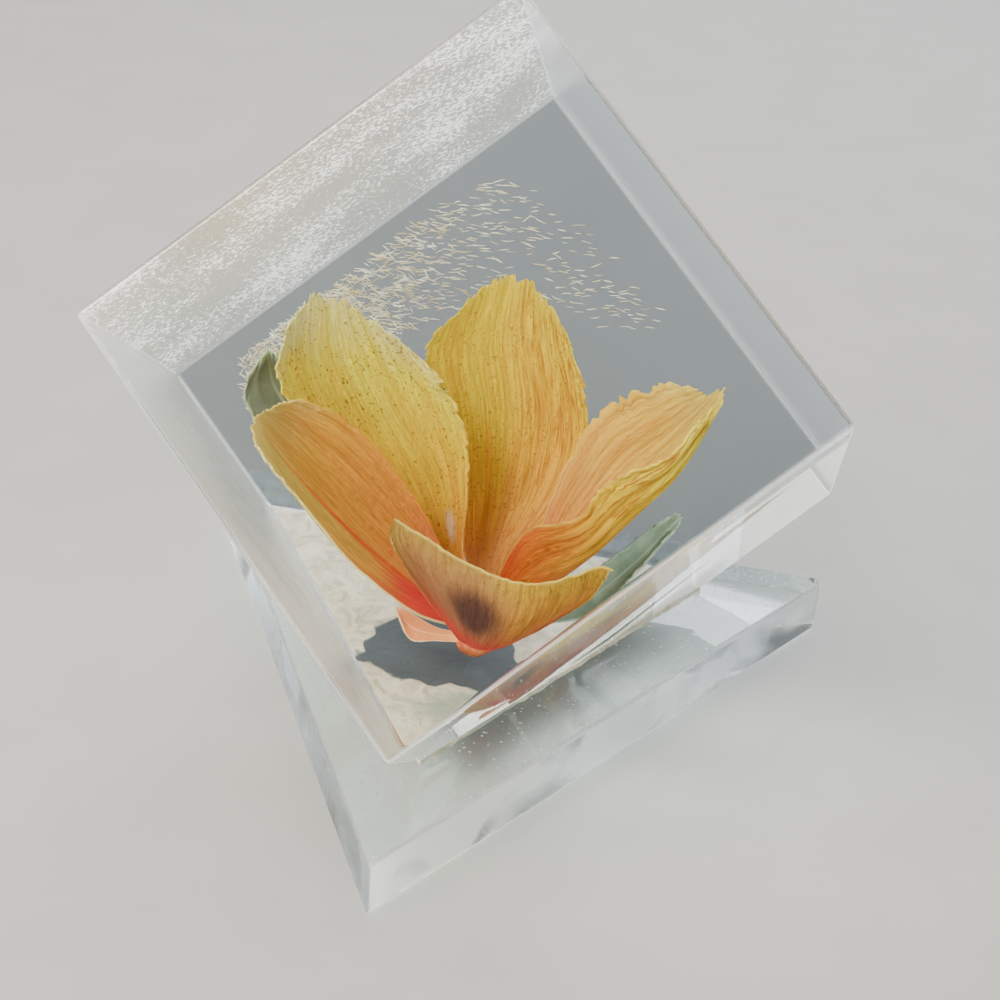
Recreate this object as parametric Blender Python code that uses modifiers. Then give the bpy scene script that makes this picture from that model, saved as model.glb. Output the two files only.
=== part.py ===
"""Flower paperweight: a clear acrylic cube that stands on one cut-off corner over a triangular
clear base plate, with a hibiscus flower and its leaves sealed inside.

Units are metres, +Z is up. The origin is on the table, under the middle of the block. The cube's
body diagonal is upright, and its lowest edge that can be seen runs towards -Y.
"""
import math

import bmesh
import bpy
from mathutils import Matrix, Vector

MM = 0.001
GAP = 0.3 * MM                     # clearance between pieces that touch

BLOCK_SIDE = 70.0 * MM             # edge of the acrylic cube
CORNER_CUT = 26.5 * MM             # height of the corner that is cut off, along the body diagonal
EDGE_RADIUS = 0.5 * MM             # polished edges of the block and the plate
PARTING_DEPTH = 37.0 * MM          # the seam between the block's halves, under the front face

PLATE_SIDE = 100.8 * MM            # edge of the triangular plate
PLATE_THICKNESS = 8.25 * MM
PLATE_YAW = math.radians(-91.5)    # the plate is glued on 1.5 degrees askew
CHIPPED_CORNER = 2.2 * MM          # the right corner of the plate is worn round

FILM_THICKNESS = 0.5 * MM          # cured adhesive between the block and the plate
FILM_INSET = 0.8 * MM

POCKET_CLEARANCE = 1.6 * MM        # how far the hollow stands off the flower's outermost points
PETAL_THICKNESS = 0.5 * MM
LEAF_THICKNESS = 0.4 * MM
NEEDLE_THICKNESS = 1.6 * MM        # depth of the sheet in which the needles set
STATIONS = (0.0, 0.35, 0.7, 1.0)   # where along a petal its control points lie, claw to tip
ROUNDED_TIP = 0.12                 # how far a petal's margins stop short of its tip
SQUARE_TIP = 0.03                  # the same for the front petal, whose tip is nearly straight

# Control points in millimetres as (right, up the front face, depth under the front face), from
# the middle of the block's front face. Each row is the left margin, the midrib, the right margin.
PETAL_BACK_LEFT = (
    ((1.6, -27.4, 42.5), (2.3, -27.0, 43.5), (2.9, -26.8, 43.0)),
    ((-10.8, -18.0, 42.5), (-6.4, -14.2, 47.0), (-0.5, -10.7, 43.5)),
    ((-26.4, -4.6, 37.0), (-15.5, -1.7, 44.5), (-2.9, -2.0, 41.0)),
    ((-27.2, 6.8, 36.0), (-23.0, 11.2, 38.0), (-9.6, 6.4, 39.0)),
)
PETAL_BACK_RIGHT = (
    ((3.6, -26.2, 45.5), (4.2, -26.0, 46.5), (5.0, -26.2, 46.0)),
    ((-2.4, -12.1, 49.5), (2.8, -11.7, 52.0), (10.8, -13.7, 46.5)),
    ((-9.2, 1.8, 48.0), (2.5, 3.2, 50.0), (15.3, -1.5, 43.0)),
    ((-8.8, 10.4, 46.0), (1.1, 18.6, 44.5), (8.8, 13.2, 42.0)),
)
PETAL_RIGHT = (
    ((6.0, -26.8, 44.5), (6.8, -27.4, 43.5), (7.2, -28.2, 42.0)),
    ((10.8, -9.8, 43.5), (18.5, -17.1, 38.5), (14.6, -15.4, 33.0)),
    ((17.9, 3.2, 38.0), (26.6, -5.5, 32.5), (23.6, -6.4, 26.0)),
    ((29.8, 5.4, 30.0), (32.6, 5.0, 27.2), (31.6, 2.8, 24.5)),
)
PETAL_LEFT = (
    ((1.6, -29.2, 41.0), (1.7, -30.0, 40.0), (2.1, -30.8, 39.0)),
    ((-7.0, -17.6, 34.0), (-9.6, -23.7, 33.0), (-8.2, -28.2, 27.0)),
    ((-16.4, -7.6, 28.0), (-21.2, -13.7, 27.0), (-18.6, -19.4, 19.0)),
    ((-24.0, -6.6, 24.0), (-27.6, -8.4, 22.5), (-25.8, -12.0, 17.0)),
)
PETAL_FRONT = (
    ((3.0, -32.2, 38.0), (5.2, -33.2, 38.0), (7.4, -31.8, 38.5)),
    ((-3.5, -30.2, 29.6), (7.2, -33.6, 28.0), (14.8, -29.5, 32.0)),
    ((-6.4, -24.6, 24.0), (7.6, -29.2, 18.5), (19.4, -24.0, 25.0)),
    ((-6.1, -18.6, 22.0), (6.2, -23.2, 16.5), (22.8, -20.6, 20.0)),
)
LEAF_LEFT = (
    ((-4.5, -25.6, 51.0), (-4.0, -26.0, 51.6), (-3.4, -26.4, 51.4)),
    ((-19.5, -15.6, 47.5), (-16.0, -13.6, 50.5), (-12.4, -12.2, 52.0)),
    ((-32.6, -6.0, 43.5), (-29.0, -3.0, 46.5), (-24.0, -1.6, 48.0)),
    ((-32.8, 2.0, 42.5), (-31.4, 3.2, 43.5), (-29.8, 2.6, 44.0)),
)
LEAF_RIGHT = (
    ((10.4, -27.2, 48.0), (10.8, -28.0, 48.0), (11.2, -28.8, 48.0)),
    ((15.6, -22.4, 48.5), (17.6, -24.4, 49.0), (18.8, -26.2, 48.0)),
    ((22.0, -16.6, 44.5), (23.6, -18.4, 45.5), (24.2, -19.8, 44.5)),
    ((28.0, -10.4, 41.0), (29.2, -11.0, 41.5), (29.2, -12.2, 41.5)),
)
# The sheet in which the pale needles set, behind the flower, from its left end to its right.
NEEDLE_SHEET = (
    ((-34.6, -5.0, 55.5), (-36.4, -1.0, 56.0), (-37.2, 2.4, 56.0)),
    ((-19.0, 5.0, 56.0), (-22.0, 11.6, 57.0), (-24.6, 16.4, 57.5)),
    ((-2.0, 15.6, 56.0), (-3.6, 25.0, 57.0), (-5.0, 33.6, 57.5)),
    ((25.0, 11.6, 56.0), (24.6, 16.4, 56.5), (17.4, 23.4, 57.0)),
)


def remove_all():
    """Empty the scene."""
    for old in list(bpy.data.objects):
        bpy.data.objects.remove(old, do_unlink=True)


def new_collection(name):
    """Add a collection to the scene."""
    collection = bpy.data.collections.new(name)
    bpy.context.scene.collection.children.link(collection)
    return collection


def add_object(name, mesh, collection, material=None):
    """Put a mesh in the scene under a name, with one material."""
    obj = bpy.data.objects.new(name, mesh)
    collection.objects.link(obj)
    if material is not None:
        mesh.materials.append(material)
    return obj


def principled(name, colour, roughness, transmission=0.0, ior=1.45, alpha=1.0):
    """One Principled material."""
    material = bpy.data.materials.new(name)
    material.use_nodes = True
    shader = material.node_tree.nodes["Principled BSDF"]
    shader.inputs["Base Color"].default_value = (*colour, 1.0)
    shader.inputs["Roughness"].default_value = roughness
    shader.inputs["Metallic"].default_value = 0.0
    shader.inputs["Transmission Weight"].default_value = transmission
    shader.inputs["IOR"].default_value = ior
    shader.inputs["Alpha"].default_value = alpha
    material.diffuse_color = (*colour, alpha)
    return material


def edge_directions():
    """The cube's three edges that leave its lowest vertex, as unit vectors."""
    out = []
    for k in range(3):
        azimuth = math.radians(-90.0 + 120.0 * k)
        level = math.sqrt(2.0 / 3.0)
        out.append(Vector((level * math.cos(azimuth), level * math.sin(azimuth),
                           math.sqrt(1.0 / 3.0))))
    return out


EDGES = edge_directions()
FACET_Z = PLATE_THICKNESS + FILM_THICKNESS + 2.0 * GAP
LOWEST = Vector((0.0, 0.0, FACET_Z - CORNER_CUT))
CENTRE = LOWEST + (EDGES[0] + EDGES[1] + EDGES[2]) * (BLOCK_SIDE / 2.0)
FACE_NORMAL = EDGES[0].copy()
FACE_RIGHT = Vector((1.0, 0.0, 0.0))
FACE_UP = FACE_NORMAL.cross(FACE_RIGHT)


def face_point(right, up, depth):
    """A point given from the middle of the front face, in millimetres."""
    inwards = BLOCK_SIDE / 2.0 - depth * MM
    return CENTRE + FACE_RIGHT * (right * MM) + FACE_UP * (up * MM) + FACE_NORMAL * inwards


def through(values, at):
    """Weights of the polynomial that passes through one value at each station."""
    weights = []
    for i, here in enumerate(values):
        weight = 1.0
        for j, other in enumerate(values):
            if j != i:
                weight *= (at - other) / (here - other)
        weights.append(weight)
    return weights


def blade_point(rows, along, across, rounded):
    """A point of a petal or leaf. Along runs 0 to 1 from claw to tip, across -1 to 1."""
    along = along * (1.0 - rounded * abs(across) ** 3)
    by_row = through(STATIONS, along)
    by_column = through((-1.0, 0.0, 1.0), across)
    point = Vector((0.0, 0.0, 0.0))
    for weight_row, row in zip(by_row, rows):
        for weight_column, (right, up, depth) in zip(by_column, row):
            point += face_point(right, up, depth) * (weight_row * weight_column)
    return point


def blade(name, rows, thickness, collection, material, steps_along=18, steps_across=10,
          pleat=0.0, rounded=ROUNDED_TIP):
    """A petal or leaf: a grid bent through its control points and given a thickness."""
    bm = bmesh.new()
    bmesh.ops.create_grid(bm, x_segments=steps_across, y_segments=steps_along, size=0.5)
    for vert in bm.verts:
        across = vert.co.x * 2.0
        along = vert.co.y + 0.5
        point = blade_point(rows, along, across, rounded)
        wave = pleat * along * along * math.sin(across * 7.0 + 0.8 * along)
        vert.co = point + FACE_NORMAL * wave
    mesh = bpy.data.meshes.new(name)
    bm.to_mesh(mesh)
    bm.free()
    mesh.shade_smooth()
    obj = add_object(name, mesh, collection, material)
    solidify = obj.modifiers.new("thickness", "SOLIDIFY")
    solidify.thickness = thickness
    solidify.offset = 0.0
    solidify.use_even_offset = False
    return obj


def cutter_box(name, centre, axes, size, collection):
    """A box that cuts, set square to three axes."""
    bm = bmesh.new()
    bmesh.ops.create_cube(bm, size=1.0)
    bmesh.ops.scale(bm, vec=size, verts=bm.verts)
    mesh = bpy.data.meshes.new(name)
    bm.to_mesh(mesh)
    bm.free()
    obj = add_object(name, mesh, collection)
    turn = Matrix(axes).transposed().to_4x4()
    obj.matrix_world = Matrix.Translation(centre) @ turn
    obj.display_type = "WIRE"
    obj.hide_render = True
    return obj


def subtract(obj, cutter, name):
    """Cut one object out of another."""
    cut = obj.modifiers.new(name, "BOOLEAN")
    cut.operation = "DIFFERENCE"
    cut.solver = "EXACT"
    cut.object = cutter


def pocket_cutter(inner, collection):
    """The hollow that holds the flower: a hull round its pieces, a little larger than them."""
    bm = bmesh.new()
    graph = bpy.context.evaluated_depsgraph_get()
    for obj in inner:
        thickened = obj.evaluated_get(graph)
        for vert in thickened.to_mesh().vertices:
            bm.verts.new(obj.matrix_world @ vert.co)
        thickened.to_mesh_clear()
    hull = bmesh.ops.convex_hull(bm, input=bm.verts)
    loose = [item for item in hull["geom_interior"] if isinstance(item, bmesh.types.BMVert)]
    loose += [item for item in hull["geom_unused"] if isinstance(item, bmesh.types.BMVert)]
    bmesh.ops.delete(bm, geom=list(set(loose)), context="VERTS")
    middle = Vector((0.0, 0.0, 0.0))
    for vert in bm.verts:
        middle += vert.co
    middle /= len(bm.verts)
    for vert in bm.verts:
        reach = vert.co - middle
        vert.co = middle + reach * ((reach.length + POCKET_CLEARANCE) / reach.length)
    bmesh.ops.dissolve_limit(bm, angle_limit=math.radians(2.0), verts=bm.verts, edges=bm.edges)
    bmesh.ops.triangulate(bm, faces=bm.faces)
    bmesh.ops.recalc_face_normals(bm, faces=bm.faces)
    mesh = bpy.data.meshes.new("cut_pocket")
    bm.to_mesh(mesh)
    bm.free()
    obj = add_object("cut_pocket", mesh, collection)
    obj.display_type = "WIRE"
    obj.hide_render = True
    return obj


def block_half(name, collection, material, side, cut_facet, pocket, cutters):
    """One half of the clear block. Side is +1 for the front half and -1 for the back half."""
    bpy.ops.mesh.primitive_cube_add(size=BLOCK_SIDE)
    obj = bpy.context.object
    obj.name = name
    obj.data.name = name
    for owner in list(obj.users_collection):
        owner.objects.unlink(obj)
    collection.objects.link(obj)
    obj.data.materials.append(material)
    obj.matrix_world = Matrix.Translation(CENTRE) @ Matrix(EDGES).transposed().to_4x4()
    bevel = obj.modifiers.new("polished edges", "BEVEL")
    bevel.width = EDGE_RADIUS
    bevel.segments = 2
    bevel.limit_method = "ANGLE"
    seam = CENTRE + FACE_NORMAL * (BLOCK_SIDE / 2.0 - PARTING_DEPTH)
    away = seam - FACE_NORMAL * (side * (BLOCK_SIDE - GAP / 2.0))
    other = cutter_box("cut_seam_" + name, away, EDGES, (BLOCK_SIDE * 2.0, BLOCK_SIDE * 2.0,
                                                         BLOCK_SIDE * 2.0), cutters)
    subtract(obj, cut_facet, "standing facet")
    subtract(obj, other, "seam")
    subtract(obj, pocket, "pocket")
    return obj


def base_plate(collection, material, cutters):
    """The triangular plate, with one corner worn round."""
    radius = PLATE_SIDE / math.sqrt(3.0)
    bpy.ops.mesh.primitive_cylinder_add(vertices=3, radius=radius, depth=PLATE_THICKNESS)
    obj = bpy.context.object
    obj.name = "base_plate"
    obj.data.name = "base_plate"
    for owner in list(obj.users_collection):
        owner.objects.unlink(obj)
    collection.objects.link(obj)
    obj.data.materials.append(material)
    first = obj.data.vertices[0].co
    start = math.atan2(first.y, first.x)
    obj.rotation_euler = (0.0, 0.0, PLATE_YAW - start)
    obj.location = (0.0, 0.0, PLATE_THICKNESS / 2.0)
    azimuth = PLATE_YAW + math.radians(120.0)
    outwards = Vector((math.cos(azimuth), math.sin(azimuth), 0.0))
    sideways = Vector((-outwards.y, outwards.x, 0.0))
    reach = radius - CHIPPED_CORNER + 10.0 * MM
    worn = cutter_box("cut_worn_corner", outwards * reach, (outwards, sideways, Vector((0, 0, 1))),
                      (20.0 * MM, 30.0 * MM, 40.0 * MM), cutters)
    subtract(obj, worn, "worn corner")
    bevel = obj.modifiers.new("polished edges", "BEVEL")
    bevel.width = EDGE_RADIUS
    bevel.segments = 2
    bevel.limit_method = "ANGLE"
    return obj


def adhesive_film(collection, material):
    """The thin triangle of cured adhesive between the facet and the plate."""
    facet_side = CORNER_CUT * math.sqrt(6.0)
    radius = facet_side / math.sqrt(3.0) - 2.0 * FILM_INSET
    bpy.ops.mesh.primitive_cylinder_add(vertices=3, radius=radius, depth=FILM_THICKNESS)
    obj = bpy.context.object
    obj.name = "adhesive_film"
    obj.data.name = "adhesive_film"
    for owner in list(obj.users_collection):
        owner.objects.unlink(obj)
    collection.objects.link(obj)
    obj.data.materials.append(material)
    first = obj.data.vertices[0].co
    start = math.atan2(first.y, first.x)
    obj.rotation_euler = (0.0, 0.0, math.radians(-90.0) - start)
    obj.location = (0.0, 0.0, PLATE_THICKNESS + GAP + FILM_THICKNESS / 2.0)
    return obj


def flower_base(collection, material):
    """The receptacle that the petals grow from."""
    bpy.ops.mesh.primitive_cone_add(vertices=16, radius1=1.6 * MM, radius2=3.4 * MM,
                                    depth=2.6 * MM)
    obj = bpy.context.object
    obj.name = "flower_base"
    obj.data.name = "flower_base"
    for owner in list(obj.users_collection):
        owner.objects.unlink(obj)
    collection.objects.link(obj)
    obj.data.materials.append(material)
    obj.location = (4.2 * MM, -13.0 * MM, 12.5 * MM)
    obj.data.shade_smooth()
    return obj


def main():
    """Build the paperweight."""
    remove_all()
    parts = new_collection("flower_paperweight")
    cutters = new_collection("cutters")

    clear = principled("clear_acrylic", (0.86, 0.90, 0.90), 0.03, 1.0, 1.49, 0.3)
    plate_clear = principled("clear_acrylic_plate", (0.82, 0.88, 0.88), 0.04, 1.0, 1.49, 0.3)
    glue = principled("cured_adhesive", (0.75, 0.76, 0.72), 0.35, 0.6, 1.47, 0.6)
    yellow = principled("petal_yellow", (0.95, 0.62, 0.02), 0.55)
    pale = principled("petal_pale_yellow", (0.93, 0.72, 0.12), 0.55)
    orange = principled("petal_orange", (0.90, 0.34, 0.03), 0.55)
    bronze = principled("petal_outer_bronze", (0.48, 0.22, 0.03), 0.6)
    green = principled("leaf_green", (0.10, 0.16, 0.06), 0.6)
    needle = principled("needle_inclusions", (0.86, 0.82, 0.66), 0.35, 0.5, 1.49, 0.5)
    base_red = principled("receptacle_orange_red", (0.62, 0.16, 0.05), 0.6)

    inner = [
        blade("petal_back_left", PETAL_BACK_LEFT, PETAL_THICKNESS, parts, pale, pleat=0.0004),
        blade("petal_back_right", PETAL_BACK_RIGHT, PETAL_THICKNESS, parts, yellow,
              pleat=0.0004),
        blade("petal_right", PETAL_RIGHT, PETAL_THICKNESS, parts, orange, pleat=0.0003),
        blade("petal_left", PETAL_LEFT, PETAL_THICKNESS, parts, orange, pleat=0.0003),
        blade("petal_front", PETAL_FRONT, PETAL_THICKNESS, parts, bronze, pleat=0.0003,
              rounded=SQUARE_TIP),
        blade("leaf_left", LEAF_LEFT, LEAF_THICKNESS, parts, green, 10, 6),
        blade("leaf_right", LEAF_RIGHT, LEAF_THICKNESS, parts, green, 10, 6),
        blade("needle_sheet", NEEDLE_SHEET, NEEDLE_THICKNESS, parts, needle, 14, 8),
        flower_base(parts, base_red),
    ]
    bpy.context.view_layer.update()

    below = LOWEST + Vector((0.0, 0.0, CORNER_CUT - BLOCK_SIDE))
    level = (Vector((1, 0, 0)), Vector((0, 1, 0)), Vector((0, 0, 1)))
    cut_facet = cutter_box("cut_standing_facet", below, level,
                           (BLOCK_SIDE * 2.0, BLOCK_SIDE * 2.0, BLOCK_SIDE * 2.0), cutters)
    pocket = pocket_cutter(inner, cutters)
    block_half("block_front_half", parts, clear, 1, cut_facet, pocket, cutters)
    block_half("block_back_half", parts, clear, -1, cut_facet, pocket, cutters)
    base_plate(parts, plate_clear, cutters)
    adhesive_film(parts, glue)


main()
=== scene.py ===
"""Looks of the flower paperweight: a clear acrylic cube that stands on a cut-off corner over a
triangular acrylic plate, with a hibiscus flower, two leaves and fine needles sealed inside.

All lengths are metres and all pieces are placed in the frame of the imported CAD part.
"""
from __future__ import annotations

import logging
import math
from dataclasses import dataclass
from enum import Enum
from typing import Any, Sequence

import bmesh
import bpy
import numpy as np
from mathutils import Matrix, Vector

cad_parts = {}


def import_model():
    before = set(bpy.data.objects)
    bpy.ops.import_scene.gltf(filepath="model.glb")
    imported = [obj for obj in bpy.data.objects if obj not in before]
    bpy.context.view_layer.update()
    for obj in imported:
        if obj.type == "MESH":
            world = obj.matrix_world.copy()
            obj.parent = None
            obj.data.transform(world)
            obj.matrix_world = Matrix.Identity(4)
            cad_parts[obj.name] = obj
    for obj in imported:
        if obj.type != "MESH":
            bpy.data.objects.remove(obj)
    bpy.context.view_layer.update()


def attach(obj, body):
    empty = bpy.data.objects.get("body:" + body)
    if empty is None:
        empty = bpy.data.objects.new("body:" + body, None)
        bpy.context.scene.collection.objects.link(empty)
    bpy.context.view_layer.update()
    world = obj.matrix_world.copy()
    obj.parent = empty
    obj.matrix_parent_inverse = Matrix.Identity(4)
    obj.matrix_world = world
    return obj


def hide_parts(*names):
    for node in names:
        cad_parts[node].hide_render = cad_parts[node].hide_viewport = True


LOG = logging.getLogger("paperweight")
MM = 0.001
ACRYLIC_INDEX = 1.49               # refractive index of acrylic: casting, sheet and cement
FACET_HEIGHT = 9.35 * MM           # the block's cut-off corner lies this high
PLATE_THICKNESS = 8.25 * MM

Triple = tuple[float, float, float]
Row = tuple[Triple, ...]
Rows = tuple[Row, ...]
Stops = tuple[tuple[float, str], ...]
Tree = bpy.types.NodeTree
Node = bpy.types.Node
Socket = bpy.types.NodeSocket


# --------------------------------------------------------------------------- helpers


def linear(hex_colour: str, alpha: float = 1.0) -> tuple[float, float, float, float]:
    """Turn an sRGB hex colour into linear RGBA.

    Args:
        hex_colour: A colour such as "#FFDD20".
        alpha: The fourth value.

    Returns:
        Linear red, green and blue with alpha.
    """
    digits = hex_colour.lstrip("#")
    out = []
    for i in (0, 2, 4):
        value = int(digits[i:i + 2], 16) / 255.0
        out.append(value / 12.92 if value <= 0.04045 else ((value + 0.055) / 1.055) ** 2.4)
    return (out[0], out[1], out[2], alpha)


def add_node(tree: Tree, kind: str, settings: dict[str, Any] | None = None,
             values: dict[Any, Any] | None = None,
             links: dict[Any, Socket] | None = None) -> Node:
    """Add a node with its settings, its socket values and its incoming links.

    Args:
        tree: The node tree.
        kind: The node's type name.
        settings: Attributes of the node itself.
        values: Socket name or number to default value.
        links: Socket name or number to the output that feeds it.

    Returns:
        The new node.
    """
    node = tree.nodes.new(kind)
    for name, value in (settings or {}).items():
        setattr(node, name, value)
    for key, value in (values or {}).items():
        node.inputs[key].default_value = value
    for key, source in (links or {}).items():
        tree.links.new(source, node.inputs[key])
    return node


def set_ramp(node: Node, stops: Stops) -> Node:
    """Give a colour ramp its stops.

    Args:
        node: A colour ramp node.
        stops: Position and sRGB hex colour of each stop.

    Returns:
        The same node.
    """
    ramp = node.color_ramp
    while len(ramp.elements) > 1:
        ramp.elements.remove(ramp.elements[-1])
    ramp.elements[0].position = stops[0][0]
    ramp.elements[0].color = linear(stops[0][1])
    for position, colour in stops[1:]:
        element = ramp.elements.new(position)
        element.color = linear(colour)
    return node


def add_absorption(tree: Tree, output: Node, colour: str, density: float) -> None:
    """Tint what is seen through the solid, more where it is thicker.

    Args:
        tree: The material's tree.
        output: Its output node.
        colour: The colour that passes.
        density: Absorption for each metre.
    """
    volume = add_node(tree, "ShaderNodeVolumeAbsorption",
                      values={"Color": linear(colour), "Density": density})
    tree.links.new(volume.outputs["Volume"], output.inputs["Volume"])


def margin_reach(tree: Tree, split: Node) -> tuple[Socket, Socket, Socket]:
    """How far out a place lies on a petal or leaf.

    Args:
        tree: The material's tree.
        split: The node that gives the width as X and the length as Y.

    Returns:
        From -1 at the left margin to 1 at the right one, the same without its sign, and a
        value that is 1 all along the margin.
    """
    sides = add_node(tree, "ShaderNodeMath", {"operation": "MULTIPLY_ADD"},
                     values={1: 2.0, 2: -1.0}, links={0: split.outputs["X"]}).outputs["Value"]
    outwards = add_node(tree, "ShaderNodeMath", {"operation": "ABSOLUTE"},
                        links={0: sides}).outputs["Value"]
    furthest = add_node(tree, "ShaderNodeMath", {"operation": "MAXIMUM"},
                        links={0: outwards, 1: split.outputs["Y"]}).outputs["Value"]
    return sides, outwards, furthest


def mesh_from(name: str, bm: bmesh.types.BMesh) -> bpy.types.Mesh:
    """Turn a finished bmesh into a mesh, and free it."""
    mesh = bpy.data.meshes.new(name)
    bm.to_mesh(mesh)
    bm.free()
    return mesh


def prism(name: str, outline: Sequence[Vector], low: float, high: float) -> bpy.types.Mesh:
    """Make an upright prism.

    Args:
        name: The mesh's name.
        outline: Its corners, seen from above.
        low: Height of its underside.
        high: Height of its top.

    Returns:
        The closed mesh.
    """
    bm = bmesh.new()
    face = bm.faces.new([bm.verts.new((corner.x, corner.y, low)) for corner in outline])
    raised = bmesh.ops.extrude_face_region(bm, geom=[face])
    for item in raised["geom"]:
        if isinstance(item, bmesh.types.BMVert):
            item.co.z = high
    bmesh.ops.recalc_face_normals(bm, faces=bm.faces)
    return mesh_from(name, bm)


def new_object(name: str, mesh: bpy.types.Mesh, finish: bpy.types.Material,
               smooth_angle: float | None = 40.0) -> bpy.types.Object:
    """Put a mesh into the scene with its material.

    Args:
        name: The piece's name.
        mesh: Its mesh.
        finish: Its material.
        smooth_angle: Edges sharper than this many degrees stay sharp; None smooths all.

    Returns:
        The new object.
    """
    obj = bpy.data.objects.new(name, mesh)
    bpy.context.scene.collection.objects.link(obj)
    mesh.materials.append(finish)
    mesh.shade_smooth()
    if smooth_angle is not None:
        mesh.set_sharp_from_angle(angle=math.radians(smooth_angle))
    return obj


def bake_modifiers(obj: bpy.types.Object) -> None:
    """Turn an object's modifiers into its mesh."""
    graph = bpy.context.evaluated_depsgraph_get()
    mesh = bpy.data.meshes.new_from_object(obj.evaluated_get(graph))
    obj.modifiers.clear()
    old = obj.data
    obj.data = mesh
    bpy.data.meshes.remove(old)


def polish_edges(obj: bpy.types.Object, radius: float, harden: bool = False) -> None:
    """Round an object's sharp edges.

    Args:
        obj: The object.
        radius: How far the rounding reaches on each side of an edge.
        harden: Whether the flat faces keep their own normals.
    """
    bevel = obj.modifiers.new("polished edges", "BEVEL")
    bevel.width = radius
    bevel.segments = 3
    bevel.limit_method = "ANGLE"
    bevel.harden_normals = harden
    bake_modifiers(obj)


# --------------------------------------------------------------------------- the block's frame


class BlockFace(Enum):
    """A face of the cube: which edge it is square to, and at which end of it."""

    FRONT = (0, 1.0)
    BACK = (0, -1.0)
    UPPER_RIGHT = (1, 1.0)
    LOWER_LEFT = (1, -1.0)
    UPPER_LEFT = (2, 1.0)
    LOWER_RIGHT = (2, -1.0)

    @property
    def edge(self) -> int:
        """The number of the edge direction that the face is square to."""
        return self.value[0]

    @property
    def sign(self) -> float:
        """1 at the far end of that edge, -1 at the cube's lowest vertex."""
        return self.value[1]


@dataclass(frozen=True)
class BlockFrame:
    """Where the corner-standing cube is, and its front face's own directions.

    A point "on the face" is given in millimetres as right, up the face, and depth under it,
    from the middle of the front face.
    """

    side: float = 70.0 * MM
    corner_cut: float = 26.5 * MM

    def edges(self) -> list[Vector]:
        """The three edge directions that leave the cube's lowest vertex."""
        level = math.sqrt(2.0 / 3.0)
        rise = math.sqrt(1.0 / 3.0)
        out = []
        for k in range(3):
            azimuth = math.radians(-90.0 + 120.0 * k)
            out.append(Vector((level * math.cos(azimuth), level * math.sin(azimuth), rise)))
        return out

    def lowest(self) -> Vector:
        """The cube's lowest vertex, which is cut off."""
        return Vector((0.0, 0.0, FACET_HEIGHT - self.corner_cut))

    def centre(self) -> Vector:
        """The cube's middle."""
        return self.lowest() + sum(self.edges(), Vector()) * (self.side / 2.0)

    def normal(self) -> Vector:
        """Outward normal of the front face."""
        return self.edges()[0]

    def right(self) -> Vector:
        """The level direction in the front face."""
        return Vector((1.0, 0.0, 0.0))

    def up(self) -> Vector:
        """The steepest direction in the front face."""
        return self.normal().cross(self.right())

    def points(self, local: np.ndarray) -> np.ndarray:
        """Turn face coordinates into places in the part.

        Args:
            local: An array whose last axis is right, up and depth in millimetres.

        Returns:
            Places in metres, in the same shape.
        """
        right, up, normal = (np.array(v) for v in (self.right(), self.up(), self.normal()))
        inwards = self.side / 2.0 - local[..., 2:3] * MM
        return (np.array(self.centre()) + local[..., 0:1] * MM * right
                + local[..., 1:2] * MM * up + inwards * normal)


# --------------------------------------------------------------------------- finishes


@dataclass(frozen=True)
class Finish:
    """A material that starts from a real surface."""

    name: str = "finish"

    def start(self) -> tuple[bpy.types.Material, Tree, Node, Node]:
        """Make the material with one Principled shader.

        Returns:
            The material, its tree, the shader and the output node.
        """
        material = bpy.data.materials.new(self.name)
        material.use_nodes = True
        tree = material.node_tree
        tree.nodes.clear()
        output = add_node(tree, "ShaderNodeOutputMaterial")
        shader = add_node(tree, "ShaderNodeBsdfPrincipled")
        tree.links.new(shader.outputs["BSDF"], output.inputs["Surface"])
        return material, tree, shader, output

    def lit_through(self, tree: Tree, shader: Node, output: Node, tint: str, veil: Socket,
                    glow: Socket) -> None:
        """Scatter some light in the satin places, and let shadow rays pass.

        Without the second, the lamps would not reach what is sealed inside.

        Args:
            tree: The material's tree.
            shader: Its Principled shader.
            output: Its output node.
            tint: Colour that the passing light takes.
            veil: How much of the light is scattered, from 0 to 1.
            glow: The colour of the scattered light.
        """
        scatter = add_node(tree, "ShaderNodeBsdfTranslucent", links={"Color": glow})
        satin = add_node(tree, "ShaderNodeMixShader", links={
            0: veil, 1: shader.outputs["BSDF"], 2: scatter.outputs["BSDF"]})
        path = add_node(tree, "ShaderNodeLightPath")
        clear = add_node(tree, "ShaderNodeBsdfTransparent", values={"Color": linear(tint)})
        mix = add_node(tree, "ShaderNodeMixShader", links={
            0: path.outputs["Is Shadow Ray"], 1: satin.outputs["Shader"],
            2: clear.outputs["BSDF"]})
        tree.links.new(mix.outputs["Shader"], output.inputs["Surface"])

    def build(self) -> bpy.types.Material:
        """Make the material."""
        return self.start()[0]


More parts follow.
